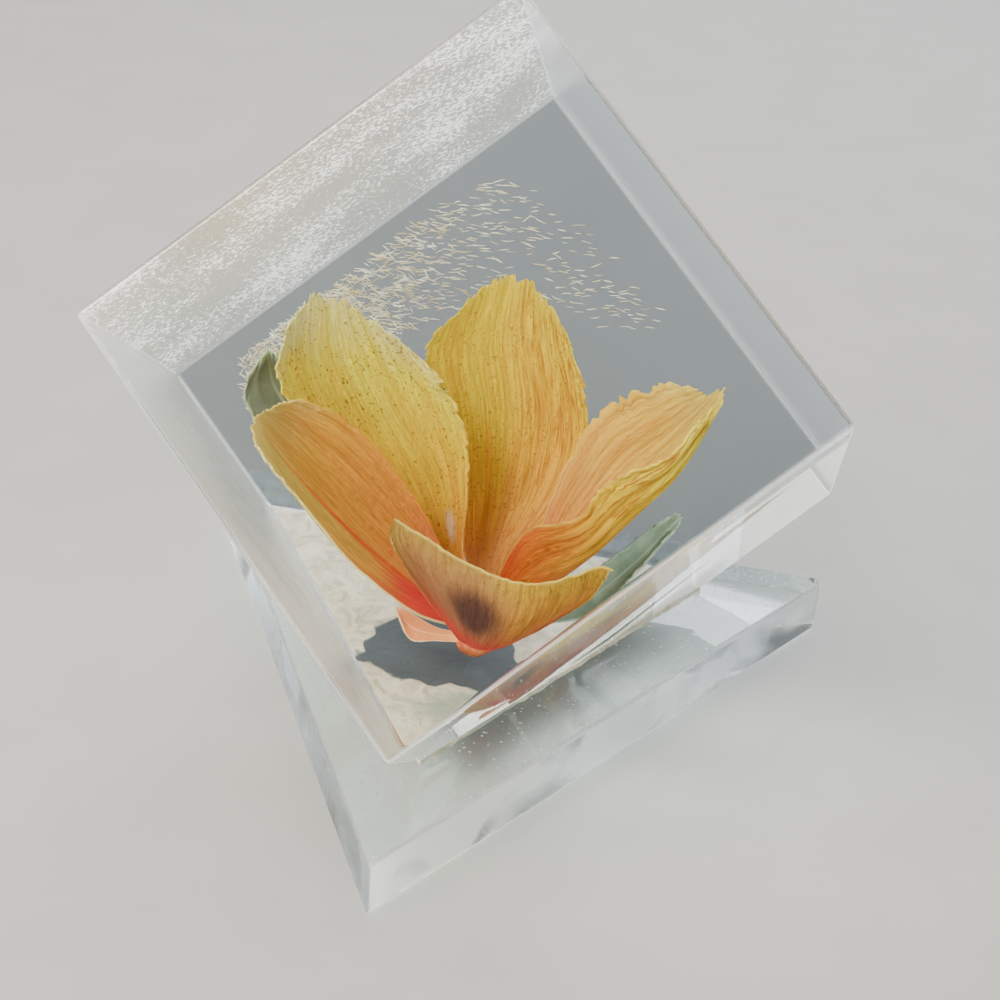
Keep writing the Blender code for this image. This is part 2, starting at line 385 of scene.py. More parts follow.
@dataclass(frozen=True)
class BlockAcrylic(Finish):
    """Cast acrylic (PMMA) block: the front buffed clear, the other faces left satin.

    A buffed face is see-through with faint hairlines. The faces round the back were only
    sanded fine, so they blur and grey what lies behind them. The back face is also tinted dark
    grey-blue: painted shade that stands in for the dark surroundings seen through it. The upper
    left face shows bright flecks from the sanding grit, the lower left one is clouded, and the
    edges are whitened.
    """

    name: str = "cast_acrylic_block"
    frame: BlockFrame = BlockFrame()
    tint: str = "#F4F7F7"
    # Painted shade: the back face's dark grey-blue tint stands in for the dark surroundings seen
    # through it.
    back_shade_tint: str = "#838C90"
    side_tint: str = "#EEF2F0"
    fleck: str = "#FFFFFF"
    fleck_ground: str = "#DDDCD0"
    cloud: str = "#DAD6B8"
    edge: str = "#F4F6F4"
    absorb_colour: str = "#A9B7BF"
    absorb_density: float = 7.0
    face_fade: tuple[float, float] = (0.75 * MM, 0.25 * MM)  # depths where a finish sets in
    hairline_mm: float = 0.4       # real hairlines are 0.01 mm; drawn coarser to show
    hairline_depth: float = 0.03
    grit_mm: float = 0.55          # grit marks of 0.2 mm, drawn coarser to show
    grit_patch_mm: float = 16.0
    cloud_mm: float = 5.0
    cloud_heights: tuple[float, float] = (18.0 * MM, 52.0 * MM)  # dense below, thin above

    def face_masks(self, tree: Tree, place: Node) -> dict[BlockFace, Socket]:
        """Where each face of the cube lies.

        Args:
            tree: The material's tree.
            place: Its texture coordinates.

        Returns:
            For each face a value from 0 inside the block to 1 on the face.
        """
        middle = add_node(tree, "ShaderNodeVectorMath", {"operation": "SUBTRACT"},
                          values={1: tuple(self.frame.centre())},
                          links={0: place.outputs["Object"]})
        half = self.frame.side / 2.0
        masks = {}
        for face in BlockFace:
            towards = self.frame.edges()[face.edge] * face.sign
            reach = add_node(tree, "ShaderNodeVectorMath", {"operation": "DOT_PRODUCT"},
                             values={1: tuple(towards)}, links={0: middle.outputs["Vector"]})
            mask = add_node(tree, "ShaderNodeMapRange",
                            values={"From Min": half - self.face_fade[0],
                                    "From Max": half - self.face_fade[1]},
                            links={"Value": reach.outputs["Value"]})
            masks[face] = mask.outputs["Result"]
        return masks

    def arris(self, tree: Tree, masks: dict[BlockFace, Socket]) -> Socket:
        """Where two faces meet, on the whitened edges.

        Args:
            tree: The material's tree.
            masks: Where each face lies.

        Returns:
            A value from 0 away from the edges to 1 on them.
        """
        total = masks[BlockFace.FRONT]
        for face in list(BlockFace)[1:]:
            total = add_node(tree, "ShaderNodeMath", {"operation": "ADD"},
                             links={0: total, 1: masks[face]}).outputs["Value"]
        return add_node(tree, "ShaderNodeMapRange", values={"From Min": 1.1, "From Max": 1.7},
                        links={"Value": total}).outputs["Result"]

    def flecks(self, tree: Tree, place: Node) -> Socket:
        """Short bright strokes of sanding grit, in drifting patches.

        Args:
            tree: The material's tree.
            place: Its texture coordinates.

        Returns:
            1 on a fleck and 0 beside it.
        """
        turned = add_node(tree, "ShaderNodeMapping",
                          values={"Rotation": (0.3, 0.5, 0.9), "Scale": (1.0, 0.4, 1.0)},
                          links={"Vector": place.outputs["Object"]})
        grit = add_node(tree, "ShaderNodeTexNoise",
                        values={"Scale": 1.0 / (self.grit_mm * MM), "Detail": 2.0,
                                "Roughness": 0.7}, links={"Vector": turned.outputs["Vector"]})
        drift = add_node(tree, "ShaderNodeTexNoise",
                         values={"Scale": 1.0 / (self.grit_patch_mm * MM), "Detail": 2.0},
                         links={"Vector": place.outputs["Object"]})
        lifted = add_node(tree, "ShaderNodeMath", {"operation": "MULTIPLY_ADD"},
                          values={1: 0.5}, links={0: drift.outputs["Fac"],
                                                  2: grit.outputs["Fac"]})
        return add_node(tree, "ShaderNodeMapRange", values={"From Min": 0.76, "From Max": 0.86},
                        links={"Value": lifted.outputs["Value"]}).outputs["Result"]

    def clouding(self, tree: Tree, place: Node) -> Socket:
        """Feathered pale patches, densest near the foot of the block.

        Args:
            tree: The material's tree.
            place: Its texture coordinates.

        Returns:
            The clouded face's colour.
        """
        feathers = add_node(tree, "ShaderNodeTexNoise",
                            values={"Scale": 1.0 / (self.cloud_mm * MM), "Detail": 5.0,
                                    "Roughness": 0.62, "Distortion": 1.2},
                            links={"Vector": place.outputs["Object"]})
        clouds = add_node(tree, "ShaderNodeMapRange",
                          values={"From Min": 0.4, "From Max": 0.62},
                          links={"Value": feathers.outputs["Fac"]})
        split = add_node(tree, "ShaderNodeSeparateXYZ", links={"Vector": place.outputs["Object"]})
        low = add_node(tree, "ShaderNodeMapRange", {"interpolation_type": "SMOOTHSTEP"},
                       values={"From Min": self.cloud_heights[0],
                               "From Max": self.cloud_heights[1], "To Min": 1.0,
                               "To Max": 0.15}, links={"Value": split.outputs["Z"]})
        foot = add_node(tree, "ShaderNodeMath", {"operation": "MULTIPLY"},
                        links={0: clouds.outputs["Result"], 1: low.outputs["Result"]})
        return add_node(tree, "ShaderNodeMix", {"data_type": "RGBA"},
                        values={6: linear(self.side_tint), 7: linear(self.cloud)},
                        links={0: foot.outputs["Value"]}).outputs[2]

    def build(self) -> bpy.types.Material:
        """Make the material."""
        material, tree, shader, output = self.start()
        place = add_node(tree, "ShaderNodeTexCoord")
        masks = self.face_masks(tree, place)
        flecks = self.flecks(tree, place)
        speckled = add_node(tree, "ShaderNodeMix", {"data_type": "RGBA"},
                            values={6: linear(self.fleck_ground), 7: linear(self.fleck)},
                            links={0: flecks}).outputs[2]
        clouded = self.clouding(tree, place)

        # Each face's mask, its colour, how far it blurs what is behind it, and how much of its
        # light scatters instead of passing.
        colour: Socket | None = None
        satin: Socket | None = None
        veil: Socket | None = None
        for mask, hue, blur, white in (
                # The back face's tint is painted shade for the dark surroundings seen through it.
                (masks[BlockFace.BACK], self.back_shade_tint, 0.22, 0.1),
                (masks[BlockFace.UPPER_RIGHT], self.side_tint, 0.22, 0.32),
                (masks[BlockFace.UPPER_LEFT], speckled, 0.45, 0.3),
                (masks[BlockFace.LOWER_LEFT], clouded, 0.35, 0.35),
                (self.arris(tree, masks), self.edge, 0.35, 0.6)):
            layer = add_node(tree, "ShaderNodeMix", {"data_type": "RGBA"},
                             values={6: linear(self.tint)}, links={0: mask})
            if isinstance(hue, str):
                layer.inputs[7].default_value = linear(hue)
            else:
                tree.links.new(hue, layer.inputs[7])
            soft = add_node(tree, "ShaderNodeMath", {"operation": "MULTIPLY"},
                            values={1: blur}, links={0: mask}).outputs["Value"]
            haze = add_node(tree, "ShaderNodeMath", {"operation": "MULTIPLY"},
                            values={1: white}, links={0: mask}).outputs["Value"]
            if colour is None or satin is None or veil is None:
                colour, satin, veil = layer.outputs[2], soft, haze
                continue
            tree.links.new(colour, layer.inputs[6])
            colour = layer.outputs[2]
            satin = add_node(tree, "ShaderNodeMath", {"operation": "MAXIMUM"},
                             links={0: satin, 1: soft}).outputs["Value"]
            veil = add_node(tree, "ShaderNodeMath", {"operation": "MAXIMUM"},
                            links={0: veil, 1: haze}).outputs["Value"]
        glint = add_node(tree, "ShaderNodeMath", {"operation": "MULTIPLY"},
                         values={1: 0.5}, links={0: flecks, 1: masks[BlockFace.UPPER_LEFT]})
        white_out = add_node(tree, "ShaderNodeMath", {"operation": "ADD", "use_clamp": True},
                             links={0: veil, 1: glint.outputs["Value"]})

        # Hairlines on every face.
        stretch = add_node(tree, "ShaderNodeMapping", values={"Scale": (1.0, 0.12, 1.0)},
                           links={"Vector": place.outputs["Object"]})
        hairlines = add_node(tree, "ShaderNodeTexNoise",
                             values={"Scale": 1.0 / (self.hairline_mm * MM), "Detail": 1.0,
                                     "Roughness": 0.6},
                             links={"Vector": stretch.outputs["Vector"]})
        scratched = add_node(tree, "ShaderNodeMath", {"operation": "MULTIPLY_ADD"},
                             values={1: self.hairline_depth},
                             links={0: hairlines.outputs["Fac"], 2: satin})
        tree.links.new(colour, shader.inputs["Base Color"])
        tree.links.new(scratched.outputs["Value"], shader.inputs["Roughness"])
        shader.inputs["Transmission Weight"].default_value = 1.0
        shader.inputs["IOR"].default_value = ACRYLIC_INDEX
        add_absorption(tree, output, self.absorb_colour, self.absorb_density)
        self.lit_through(tree, shader, output, self.tint, white_out.outputs["Value"], colour)
        return material


@dataclass(frozen=True)
class PlateAcrylic(Finish):
    """Acrylic sheet: rolled top and bottom, and edges that were sawn and flame polished.

    The flat faces are clear under fine scuffs and dust. Flame polishing leaves the edge faces
    wavy, so they bend what is seen through them into bands. The broken edge round the top was
    only scraped, so it is a pale matt line.
    """

    name: str = "acrylic_sheet_flame_polished"
    tint: str = "#EEF4F4"
    scuffed: str = "#FFFFFF"
    absorb_colour: str = "#AFC2C6"
    absorb_density: float = 8.0
    scuff_mm: float = 0.5          # scuffs are hair fine; drawn coarser to show
    dust_mm: float = 0.7           # specks of 0.2 mm, drawn coarser to show
    wave_mm: float = 15.0
    wave_depth_mm: float = 0.6
    polished: float = 0.03         # roughness of the clear places
    dulled: float = 0.55           # what wear adds to it

    def wear(self, tree: Tree, place: Node) -> Socket:
        """Dust specks and scuffs.

        Args:
            tree: The material's tree.
            place: Its texture coordinates.

        Returns:
            How worn each place would be on a flat face.
        """
        scratch_place = add_node(tree, "ShaderNodeMapping",
                                 values={"Rotation": (0.0, 0.0, 0.6), "Scale": (1.0, 0.15, 1.0)},
                                 links={"Vector": place.outputs["Object"]})
        scratch = add_node(tree, "ShaderNodeTexNoise",
                           values={"Scale": 1.0 / (self.scuff_mm * MM), "Detail": 3.0,
                                   "Roughness": 0.7},
                           links={"Vector": scratch_place.outputs["Vector"]})
        dust = add_node(tree, "ShaderNodeTexNoise",
                        values={"Scale": 1.0 / (self.dust_mm * MM), "Detail": 2.0},
                        links={"Vector": place.outputs["Object"]})
        specks = add_node(tree, "ShaderNodeMapRange",
                          values={"From Min": 0.66, "From Max": 0.7, "To Max": 0.8},
                          links={"Value": dust.outputs["Fac"]})
        scuffs = add_node(tree, "ShaderNodeMapRange",
                          values={"From Min": 0.6, "From Max": 0.75, "To Max": 0.4},
                          links={"Value": scratch.outputs["Fac"]})
        return add_node(tree, "ShaderNodeMath", {"operation": "MAXIMUM"},
                        links={0: specks.outputs["Result"],
                               1: scuffs.outputs["Result"]}).outputs["Value"]

    def build(self) -> bpy.types.Material:
        """Make the material."""
        material, tree, shader, output = self.start()
        place = add_node(tree, "ShaderNodeTexCoord")
        split = add_node(tree, "ShaderNodeSeparateXYZ", links={"Vector": place.outputs["Object"]})
        # Heights where something begins and is full: top, underside, and scraped edge.
        top, base, above, below = (
            add_node(tree, "ShaderNodeMapRange",
                     values={"From Min": start, "From Max": end, "To Min": before,
                             "To Max": after},
                     links={"Value": split.outputs["Z"]}).outputs["Result"]
            for start, end, before, after in (
                (PLATE_THICKNESS - 0.3 * MM, PLATE_THICKNESS - 0.1 * MM, 0.0, 1.0),
                (0.1 * MM, 0.3 * MM, 1.0, 0.0),
                (PLATE_THICKNESS - 0.6 * MM, PLATE_THICKNESS - 0.45 * MM, 0.0, 0.75),
                (PLATE_THICKNESS - 0.06 * MM, PLATE_THICKNESS - 0.01 * MM, 1.0, 0.0)))
        flat = add_node(tree, "ShaderNodeMath", {"operation": "ADD", "use_clamp": True},
                        links={0: top, 1: base})
        sides = add_node(tree, "ShaderNodeMath", {"operation": "SUBTRACT"}, values={0: 1.0},
                         links={1: flat.outputs["Value"]})
        veil = add_node(tree, "ShaderNodeMath", {"operation": "MULTIPLY"},
                        links={0: self.wear(tree, place), 1: top})
        # The waves of the flame-polished edges run up and down the edge face.
        wave_place = add_node(tree, "ShaderNodeMapping", values={"Scale": (1.0, 1.0, 1.6)},
                              links={"Vector": place.outputs["Object"]})
        waves = add_node(tree, "ShaderNodeTexNoise",
                         values={"Scale": 1.0 / (self.wave_mm * MM), "Detail": 1.5,
                                 "Distortion": 0.8},
                         links={"Vector": wave_place.outputs["Vector"]})
        swell = add_node(tree, "ShaderNodeMath", {"operation": "MULTIPLY"},
                         links={0: waves.outputs["Fac"], 1: sides.outputs["Value"]})
        side_veil = add_node(tree, "ShaderNodeMapRange",
                             values={"From Min": 0.35, "From Max": 0.6, "To Max": 0.55},
                             links={"Value": swell.outputs["Value"]})
        scraped = add_node(tree, "ShaderNodeMath", {"operation": "MULTIPLY"},
                           links={0: above, 1: below})
        edges = add_node(tree, "ShaderNodeMath", {"operation": "MAXIMUM"},
                         links={0: side_veil.outputs["Result"], 1: scraped.outputs["Value"]})
        both = add_node(tree, "ShaderNodeMath", {"operation": "ADD", "use_clamp": True},
                        links={0: veil.outputs["Value"], 1: edges.outputs["Value"]})
        colour = add_node(tree, "ShaderNodeMix", {"data_type": "RGBA"},
                          values={6: linear(self.tint), 7: linear(self.scuffed)},
                          links={0: both.outputs["Value"]})
        rough = add_node(tree, "ShaderNodeMath", {"operation": "MULTIPLY_ADD"},
                         values={1: self.dulled, 2: self.polished},
                         links={0: both.outputs["Value"]})
        wavy = add_node(tree, "ShaderNodeBump",
                        values={"Strength": 0.18, "Distance": self.wave_depth_mm * MM},
                        links={"Height": swell.outputs["Value"]})
        tree.links.new(colour.outputs[2], shader.inputs["Base Color"])
        tree.links.new(rough.outputs["Value"], shader.inputs["Roughness"])
        tree.links.new(wavy.outputs["Normal"], shader.inputs["Normal"])
        shader.inputs["Transmission Weight"].default_value = 1.0
        shader.inputs["IOR"].default_value = ACRYLIC_INDEX
        add_absorption(tree, output, self.absorb_colour, self.absorb_density)
        self.lit_through(tree, shader, output, self.tint, both.outputs["Value"],
                         colour.outputs[2])
        return material


@dataclass(frozen=True)
class Spot:
    """A blot on a petal, with its middle and reach in the petal's own width and length."""

    colour: str
    across: float
    along: float
    wide: float
    tall: float
    strength: float = 0.9


@dataclass(frozen=True)
class PetalTissue(Finish):
    """A preserved hibiscus petal: thin dried tissue with fine radiating veins.

    The tissue is matt and strongly coloured, and its veins show as darker
    hair lines 0.3 to 0.5 mm apart, drawn at 0.6 mm so that they show.
    """

    name: str = "petal_tissue"
    left: Stops = ((0.0, "#E8452E"), (1.0, "#FFDD20"))
    right: Stops | None = None
    fold: float = 0.5              # where across the petal the right colours begin
    vein: str = "#D07A08"
    vein_strength: float = 0.4
    rim: str = "#FFF08A"
    rim_start: float = 0.965
    rim_width: float = 0.02
    rim_right_only: bool = False
    rim_strength: float = 0.8
    speck: str = "#94580C"
    speck_amount: float = 0.0
    speck_mm: float = 0.45         # brown age specks of 0.3 to 0.5 mm
    speck_patch_mm: float = 7.0
    crease_shade: float = 0.0            # painted shade along the creases, on the right half of the petal
    veins_across: float = 62.0
    wrinkle_mm: float = 0.8
    thinness: float = 0.4          # how much of the light the tissue lets through
    spots: tuple[Spot, ...] = ()

    def painted_crease_shade(self, tree: Tree, split: Node, furrows: Node) -> Socket:
        """Painted shade along the creases, strongest on the right half.

        Args:
            tree: The material's tree.
            split: The node that gives the petal's width as X.
            furrows: The noise that the creases follow.

        Returns:
            How strongly each place is darkened by the painted crease shade.
        """
        furrow = add_node(tree, "ShaderNodeMapRange",
                          values={"From Min": 0.49, "From Max": 0.6, "To Min": 0.0,
                                  "To Max": self.crease_shade},
                          links={"Value": furrows.outputs["Fac"]})
        half = add_node(tree, "ShaderNodeMapRange", {"interpolation_type": "SMOOTHSTEP"},
                        values={"From Min": self.fold - 0.05, "From Max": self.fold + 0.2,
                                "To Min": 0.25},
                        links={"Value": split.outputs["X"]})
        return add_node(tree, "ShaderNodeMath", {"operation": "MULTIPLY"},
                        links={0: furrow.outputs["Result"],
                               1: half.outputs["Result"]}).outputs["Value"]

    def specks(self, tree: Tree, place: Node) -> Socket:
        """Brown age specks, gathered in patches.

        Args:
            tree: The material's tree.
            place: Its texture coordinates.

        Returns:
            How strongly each place is specked.
        """
        grains = add_node(tree, "ShaderNodeTexNoise",
                          values={"Scale": 1.0 / (self.speck_mm * MM), "Detail": 1.0},
                          links={"Vector": place.outputs["Object"]})
        patch = add_node(tree, "ShaderNodeTexNoise",
                         values={"Scale": 1.0 / (self.speck_patch_mm * MM), "Detail": 1.0},
                         links={"Vector": place.outputs["Object"]})
        both = add_node(tree, "ShaderNodeMath", {"operation": "MULTIPLY_ADD"},
                        values={1: 0.25}, links={0: patch.outputs["Fac"],
                                                 2: grains.outputs["Fac"]})
        return add_node(tree, "ShaderNodeMapRange",
                        values={"From Min": 0.765, "From Max": 0.82, "To Min": 0.0,
                                "To Max": self.speck_amount},
                        links={"Value": both.outputs["Value"]}).outputs["Result"]

    def blot(self, tree: Tree, uv: Node, wander: Socket, spot: Spot) -> Socket:
        """One spot with a ragged edge.

        Args:
            tree: The material's tree.
            uv: The petal's own coordinates.
            wander: The noise that makes its edge ragged.
            spot: Where it lies, and its reach and strength.

        Returns:
            How strongly each place is covered.
        """
        centre = add_node(tree, "ShaderNodeVectorMath", {"operation": "SUBTRACT"},
                          values={1: (spot.across, spot.along, 0.0)},
                          links={0: uv.outputs["UV"]})
        shaped = add_node(tree, "ShaderNodeVectorMath", {"operation": "MULTIPLY"},
                          values={1: (1.0 / spot.wide, 1.0 / spot.tall, 0.0)},
                          links={0: centre.outputs["Vector"]})
        far = add_node(tree, "ShaderNodeVectorMath", {"operation": "LENGTH"},
                       links={0: shaped.outputs["Vector"]})
        ragged = add_node(tree, "ShaderNodeMath", {"operation": "ADD"},
                          links={0: far.outputs["Value"], 1: wander})
        return add_node(tree, "ShaderNodeMapRange", {"interpolation_type": "SMOOTHSTEP"},
                        values={"From Min": 0.35, "From Max": 1.0, "To Min": spot.strength,
                                "To Max": 0.0},
                        links={"Value": ragged.outputs["Value"]}).outputs["Result"]

    def build(self) -> bpy.types.Material:
        """Make the material."""
        material, tree, shader, output = self.start()
        uv = add_node(tree, "ShaderNodeUVMap", {"uv_map": "blade"})
        split = add_node(tree, "ShaderNodeSeparateXYZ", links={"Vector": uv.outputs["UV"]})
        place = add_node(tree, "ShaderNodeTexCoord")
        # Veins, streaks and furrows run from claw to tip and are spread by the petal's width.
        veins, streaks, furrows = (
            add_node(tree, "ShaderNodeTexNoise",
                     values={"Scale": 1.0, "Detail": detail, "Roughness": rough,
                             "Distortion": bend},
                     links={"Vector": add_node(tree, "ShaderNodeMapping",
                                               values={"Scale": (across, along, 1.0)},
                                               links={"Vector": uv.outputs["UV"]}
                                               ).outputs["Vector"]})
            for across, along, detail, rough, bend in (
                (self.veins_across, 2.0, 3.0, 0.6, 0.0),
                (11.0, 1.3, 3.0, 0.55, 0.0),
                (34.0, 6.0, 4.0, 0.7, 1.2)))
        wander = add_node(tree, "ShaderNodeMath", {"operation": "MULTIPLY_ADD"},
                          values={1: 0.5, 2: -0.25},
                          links={0: streaks.outputs["Fac"]}).outputs["Value"]
        lengthways = add_node(tree, "ShaderNodeMath", {"operation": "ADD"},
                              links={0: split.outputs["Y"], 1: wander}).outputs["Value"]
        colour = set_ramp(add_node(tree, "ShaderNodeValToRGB", links={"Fac": lengthways}),
                          self.left).outputs["Color"]
        if self.right is not None:
            other = set_ramp(add_node(tree, "ShaderNodeValToRGB", links={"Fac": lengthways}),
                             self.right)
            side = add_node(tree, "ShaderNodeMapRange", {"interpolation_type": "SMOOTHSTEP"},
                            values={"From Min": self.fold - 0.1, "From Max": self.fold + 0.1},
                            links={"Value": split.outputs["X"]})
            colour = add_node(tree, "ShaderNodeMix", {"data_type": "RGBA"},
                              links={0: side.outputs["Result"], 6: colour,
                                     7: other.outputs["Color"]}).outputs[2]
        vein_line = add_node(tree, "ShaderNodeMapRange",
                             values={"From Min": 0.46, "From Max": 0.62, "To Min": 0.0,
                                     "To Max": self.vein_strength},
                             links={"Value": veins.outputs["Fac"]})
        layers: list[tuple[Socket, str]] = [(vein_line.outputs["Result"], self.vein)]
        # Painted shade: the vein colour laid along the furrows stands in for shade in the pleat
        # creases.
        if self.crease_shade > 0.0:
            layers.append((self.painted_crease_shade(tree, split, furrows), self.vein))
        if self.speck_amount > 0.0:
            layers.append((self.specks(tree, place), self.speck))
        for spot in self.spots:
            layers.append((self.blot(tree, uv, wander, spot), spot.colour))
        # The margin is paler where the tissue thins to an edge. Where it is drawn on the right
        # margin only, the pale line is also a painted highlight on the near, upturned margin.
        sides, _, furthest = margin_reach(tree, split)
        edge = add_node(tree, "ShaderNodeMapRange",
                        values={"From Min": self.rim_start,
                                "From Max": self.rim_start + self.rim_width,
                                "To Min": 0.0, "To Max": self.rim_strength},
                        links={"Value": sides if self.rim_right_only else furthest})
        layers.append((edge.outputs["Result"], self.rim))
        for mask, hue in layers:
            colour = add_node(tree, "ShaderNodeMix", {"data_type": "RGBA"},
                              values={7: linear(hue)}, links={0: mask, 6: colour}).outputs[2]
        wrinkles = add_node(tree, "ShaderNodeTexNoise",
                            values={"Scale": 1.0 / (self.wrinkle_mm * MM), "Detail": 3.0},
                            links={"Vector": place.outputs["Object"]})
        relief = add_node(tree, "ShaderNodeMath", {"operation": "MULTIPLY_ADD"},
                          values={1: 0.5}, links={0: wrinkles.outputs["Fac"],
                                                  2: furrows.outputs["Fac"]})
        bump = add_node(tree, "ShaderNodeBump", values={"Strength": 1.0, "Distance": 0.8 * MM},
                        links={"Height": relief.outputs["Value"]})
        tree.links.new(colour, shader.inputs["Base Color"])
        tree.links.new(bump.outputs["Normal"], shader.inputs["Normal"])
        shader.inputs["Roughness"].default_value = 0.6
        shader.inputs["IOR"].default_value = 1.4
        shader.inputs["Specular IOR Level"].default_value = 0.15
        # The tissue is thin, so the petals glow where light falls on their other side.
        through = add_node(tree, "ShaderNodeBsdfTranslucent", links={"Color": colour})
        thin = add_node(tree, "ShaderNodeMixShader", values={0: self.thinness}, links={
            1: shader.outputs["BSDF"], 2: through.outputs["BSDF"]})
        tree.links.new(thin.outputs["Shader"], output.inputs["Surface"])
        return material


@dataclass(frozen=True)
class LeafTissue(Finish):
    """A preserved leaf or sepal: dull tissue with a paler midrib and outline.

    The outline is paler because the tissue dried there first.
    """

    name: str = "leaf_tissue"
    dark: str = "#5E6650"
    light: str = "#7C866A"
    outline: str = "#B4C296"
    mottle_mm: float = 3.5

    def build(self) -> bpy.types.Material:
        """Make the material."""
        material, tree, shader, _ = self.start()
        uv = add_node(tree, "ShaderNodeUVMap", {"uv_map": "blade"})
        split = add_node(tree, "ShaderNodeSeparateXYZ", links={"Vector": uv.outputs["UV"]})
        place = add_node(tree, "ShaderNodeTexCoord")
        mottle = add_node(tree, "ShaderNodeTexNoise",
                          values={"Scale": 1.0 / (self.mottle_mm * MM), "Detail": 5.0},
                          links={"Vector": place.outputs["Object"]})
        body = set_ramp(add_node(tree, "ShaderNodeValToRGB",
                                 links={"Fac": mottle.outputs["Fac"]}),
                        ((0.35, self.dark), (0.68, self.light)))
        _, outwards, furthest = margin_reach(tree, split)
        edge = add_node(tree, "ShaderNodeMapRange",
                        values={"From Min": 0.9, "From Max": 0.99, "To Min": 0.0, "To Max": 0.8},
                        links={"Value": furthest})
        midrib = add_node(tree, "ShaderNodeMapRange",
                          values={"From Min": 0.03, "From Max": 0.07, "To Min": 0.5,
                                  "To Max": 0.0}, links={"Value": outwards})
        pale = add_node(tree, "ShaderNodeMath", {"operation": "MAXIMUM"},
                        links={0: edge.outputs["Result"], 1: midrib.outputs["Result"]})
        rimmed = add_node(tree, "ShaderNodeMix", {"data_type": "RGBA"},
                          values={7: linear(self.outline)},
                          links={0: pale.outputs["Value"], 6: body.outputs["Color"]})
        bump = add_node(tree, "ShaderNodeBump", values={"Strength": 0.4, "Distance": 0.2 * MM},
                        links={"Height": mottle.outputs["Fac"]})
        tree.links.new(rimmed.outputs[2], shader.inputs["Base Color"])
        tree.links.new(bump.outputs["Normal"], shader.inputs["Normal"])
        shader.inputs["Roughness"].default_value = 0.6
        return material


@dataclass(frozen=True)
class CementPatch:
    """A patch in the cement: its middle and reach in millimetres, colour, amount and edge."""

    middle: tuple[float, float]
    reach: tuple[float, float]
    colour: str
    amount: float
    softness: float


@dataclass(frozen=True)
class CuredCement(Finish):
    """Cured acrylic cement: feathered milky white, with one wetted patch painted dark grey.

    Where the cement drew back as it set, it left fine feathers of air that look milky. Where
    it wetted both faces there is no air to scatter light; that clear patch is painted dark grey,
    a painted shade for the darkness seen through it.
    """

    name: str = "acrylic_cement_cured"
    milky: str = "#E8DFC4"
    shaded: str = "#B0A688"
    feather_mm: float = 4.0
    ragged_mm: float = 6.0
    patch_edge: float = 1.45       # reach of a patch once the ragged noise is added
    patches: tuple[CementPatch, ...] = (
        CementPatch((5.5, -24.0), (6.5, 4.5), "#7F9A84", 0.7, 0.5),
        # Painted shade: the dark grey of this wetted patch stands in for the darkness seen
        # through the clear cement.
        CementPatch((-0.5, -11.5), (11.5, 8.0), "#3E464A", 1.0, 0.025))

    def build(self) -> bpy.types.Material:
        """Make the material."""
        material, tree, shader, _ = self.start()
        place = add_node(tree, "ShaderNodeTexCoord")
        feathers = add_node(tree, "ShaderNodeTexNoise",
                            values={"Scale": 1.0 / (self.feather_mm * MM), "Detail": 8.0,
                                    "Roughness": 0.68, "Distortion": 1.8},
                            links={"Vector": place.outputs["Object"]})
        body = set_ramp(add_node(tree, "ShaderNodeValToRGB",
                                 links={"Fac": feathers.outputs["Fac"]}),
                        ((0.34, self.shaded), (0.58, self.milky)))
        ragged = add_node(tree, "ShaderNodeTexNoise",
                          values={"Scale": 1.0 / (self.ragged_mm * MM), "Detail": 2.0},
                          links={"Vector": place.outputs["Object"]})
        colour = body.outputs["Color"]
        for patch in self.patches:
            offset = add_node(tree, "ShaderNodeVectorMath", {"operation": "SUBTRACT"},
                              values={1: (patch.middle[0] * MM, patch.middle[1] * MM, 0.0)},
                              links={0: place.outputs["Object"]})
            shaped = add_node(tree, "ShaderNodeVectorMath", {"operation": "MULTIPLY"},
                              values={1: (1.0 / (patch.reach[0] * MM),
                                          1.0 / (patch.reach[1] * MM), 0.0)},
                              links={0: offset.outputs["Vector"]})
            far = add_node(tree, "ShaderNodeVectorMath", {"operation": "LENGTH"},
                           links={0: shaped.outputs["Vector"]})
            edge = add_node(tree, "ShaderNodeMath", {"operation": "MULTIPLY_ADD"},
                            values={1: 0.9}, links={0: ragged.outputs["Fac"],
                                                    2: far.outputs["Value"]})
            mask = add_node(tree, "ShaderNodeMapRange", {"interpolation_type": "SMOOTHSTEP"},
                            values={"From Min": self.patch_edge - patch.softness,
                                    "From Max": self.patch_edge + patch.softness,
                                    "To Min": patch.amount, "To Max": 0.0},
                            links={"Value": edge.outputs["Value"]})
            colour = add_node(tree, "ShaderNodeMix", {"data_type": "RGBA"},
                              values={7: linear(patch.colour)},
                              links={0: mask.outputs["Result"], 6: colour}).outputs[2]
        bump = add_node(tree, "ShaderNodeBump", values={"Strength": 0.8, "Distance": 0.5 * MM},
                        links={"Height": feathers.outputs["Fac"]})
        tree.links.new(colour, shader.inputs["Base Color"])
        tree.links.new(bump.outputs["Normal"], shader.inputs["Normal"])
        shader.inputs["Roughness"].default_value = 0.4
        shader.inputs["IOR"].default_value = ACRYLIC_INDEX
        return material


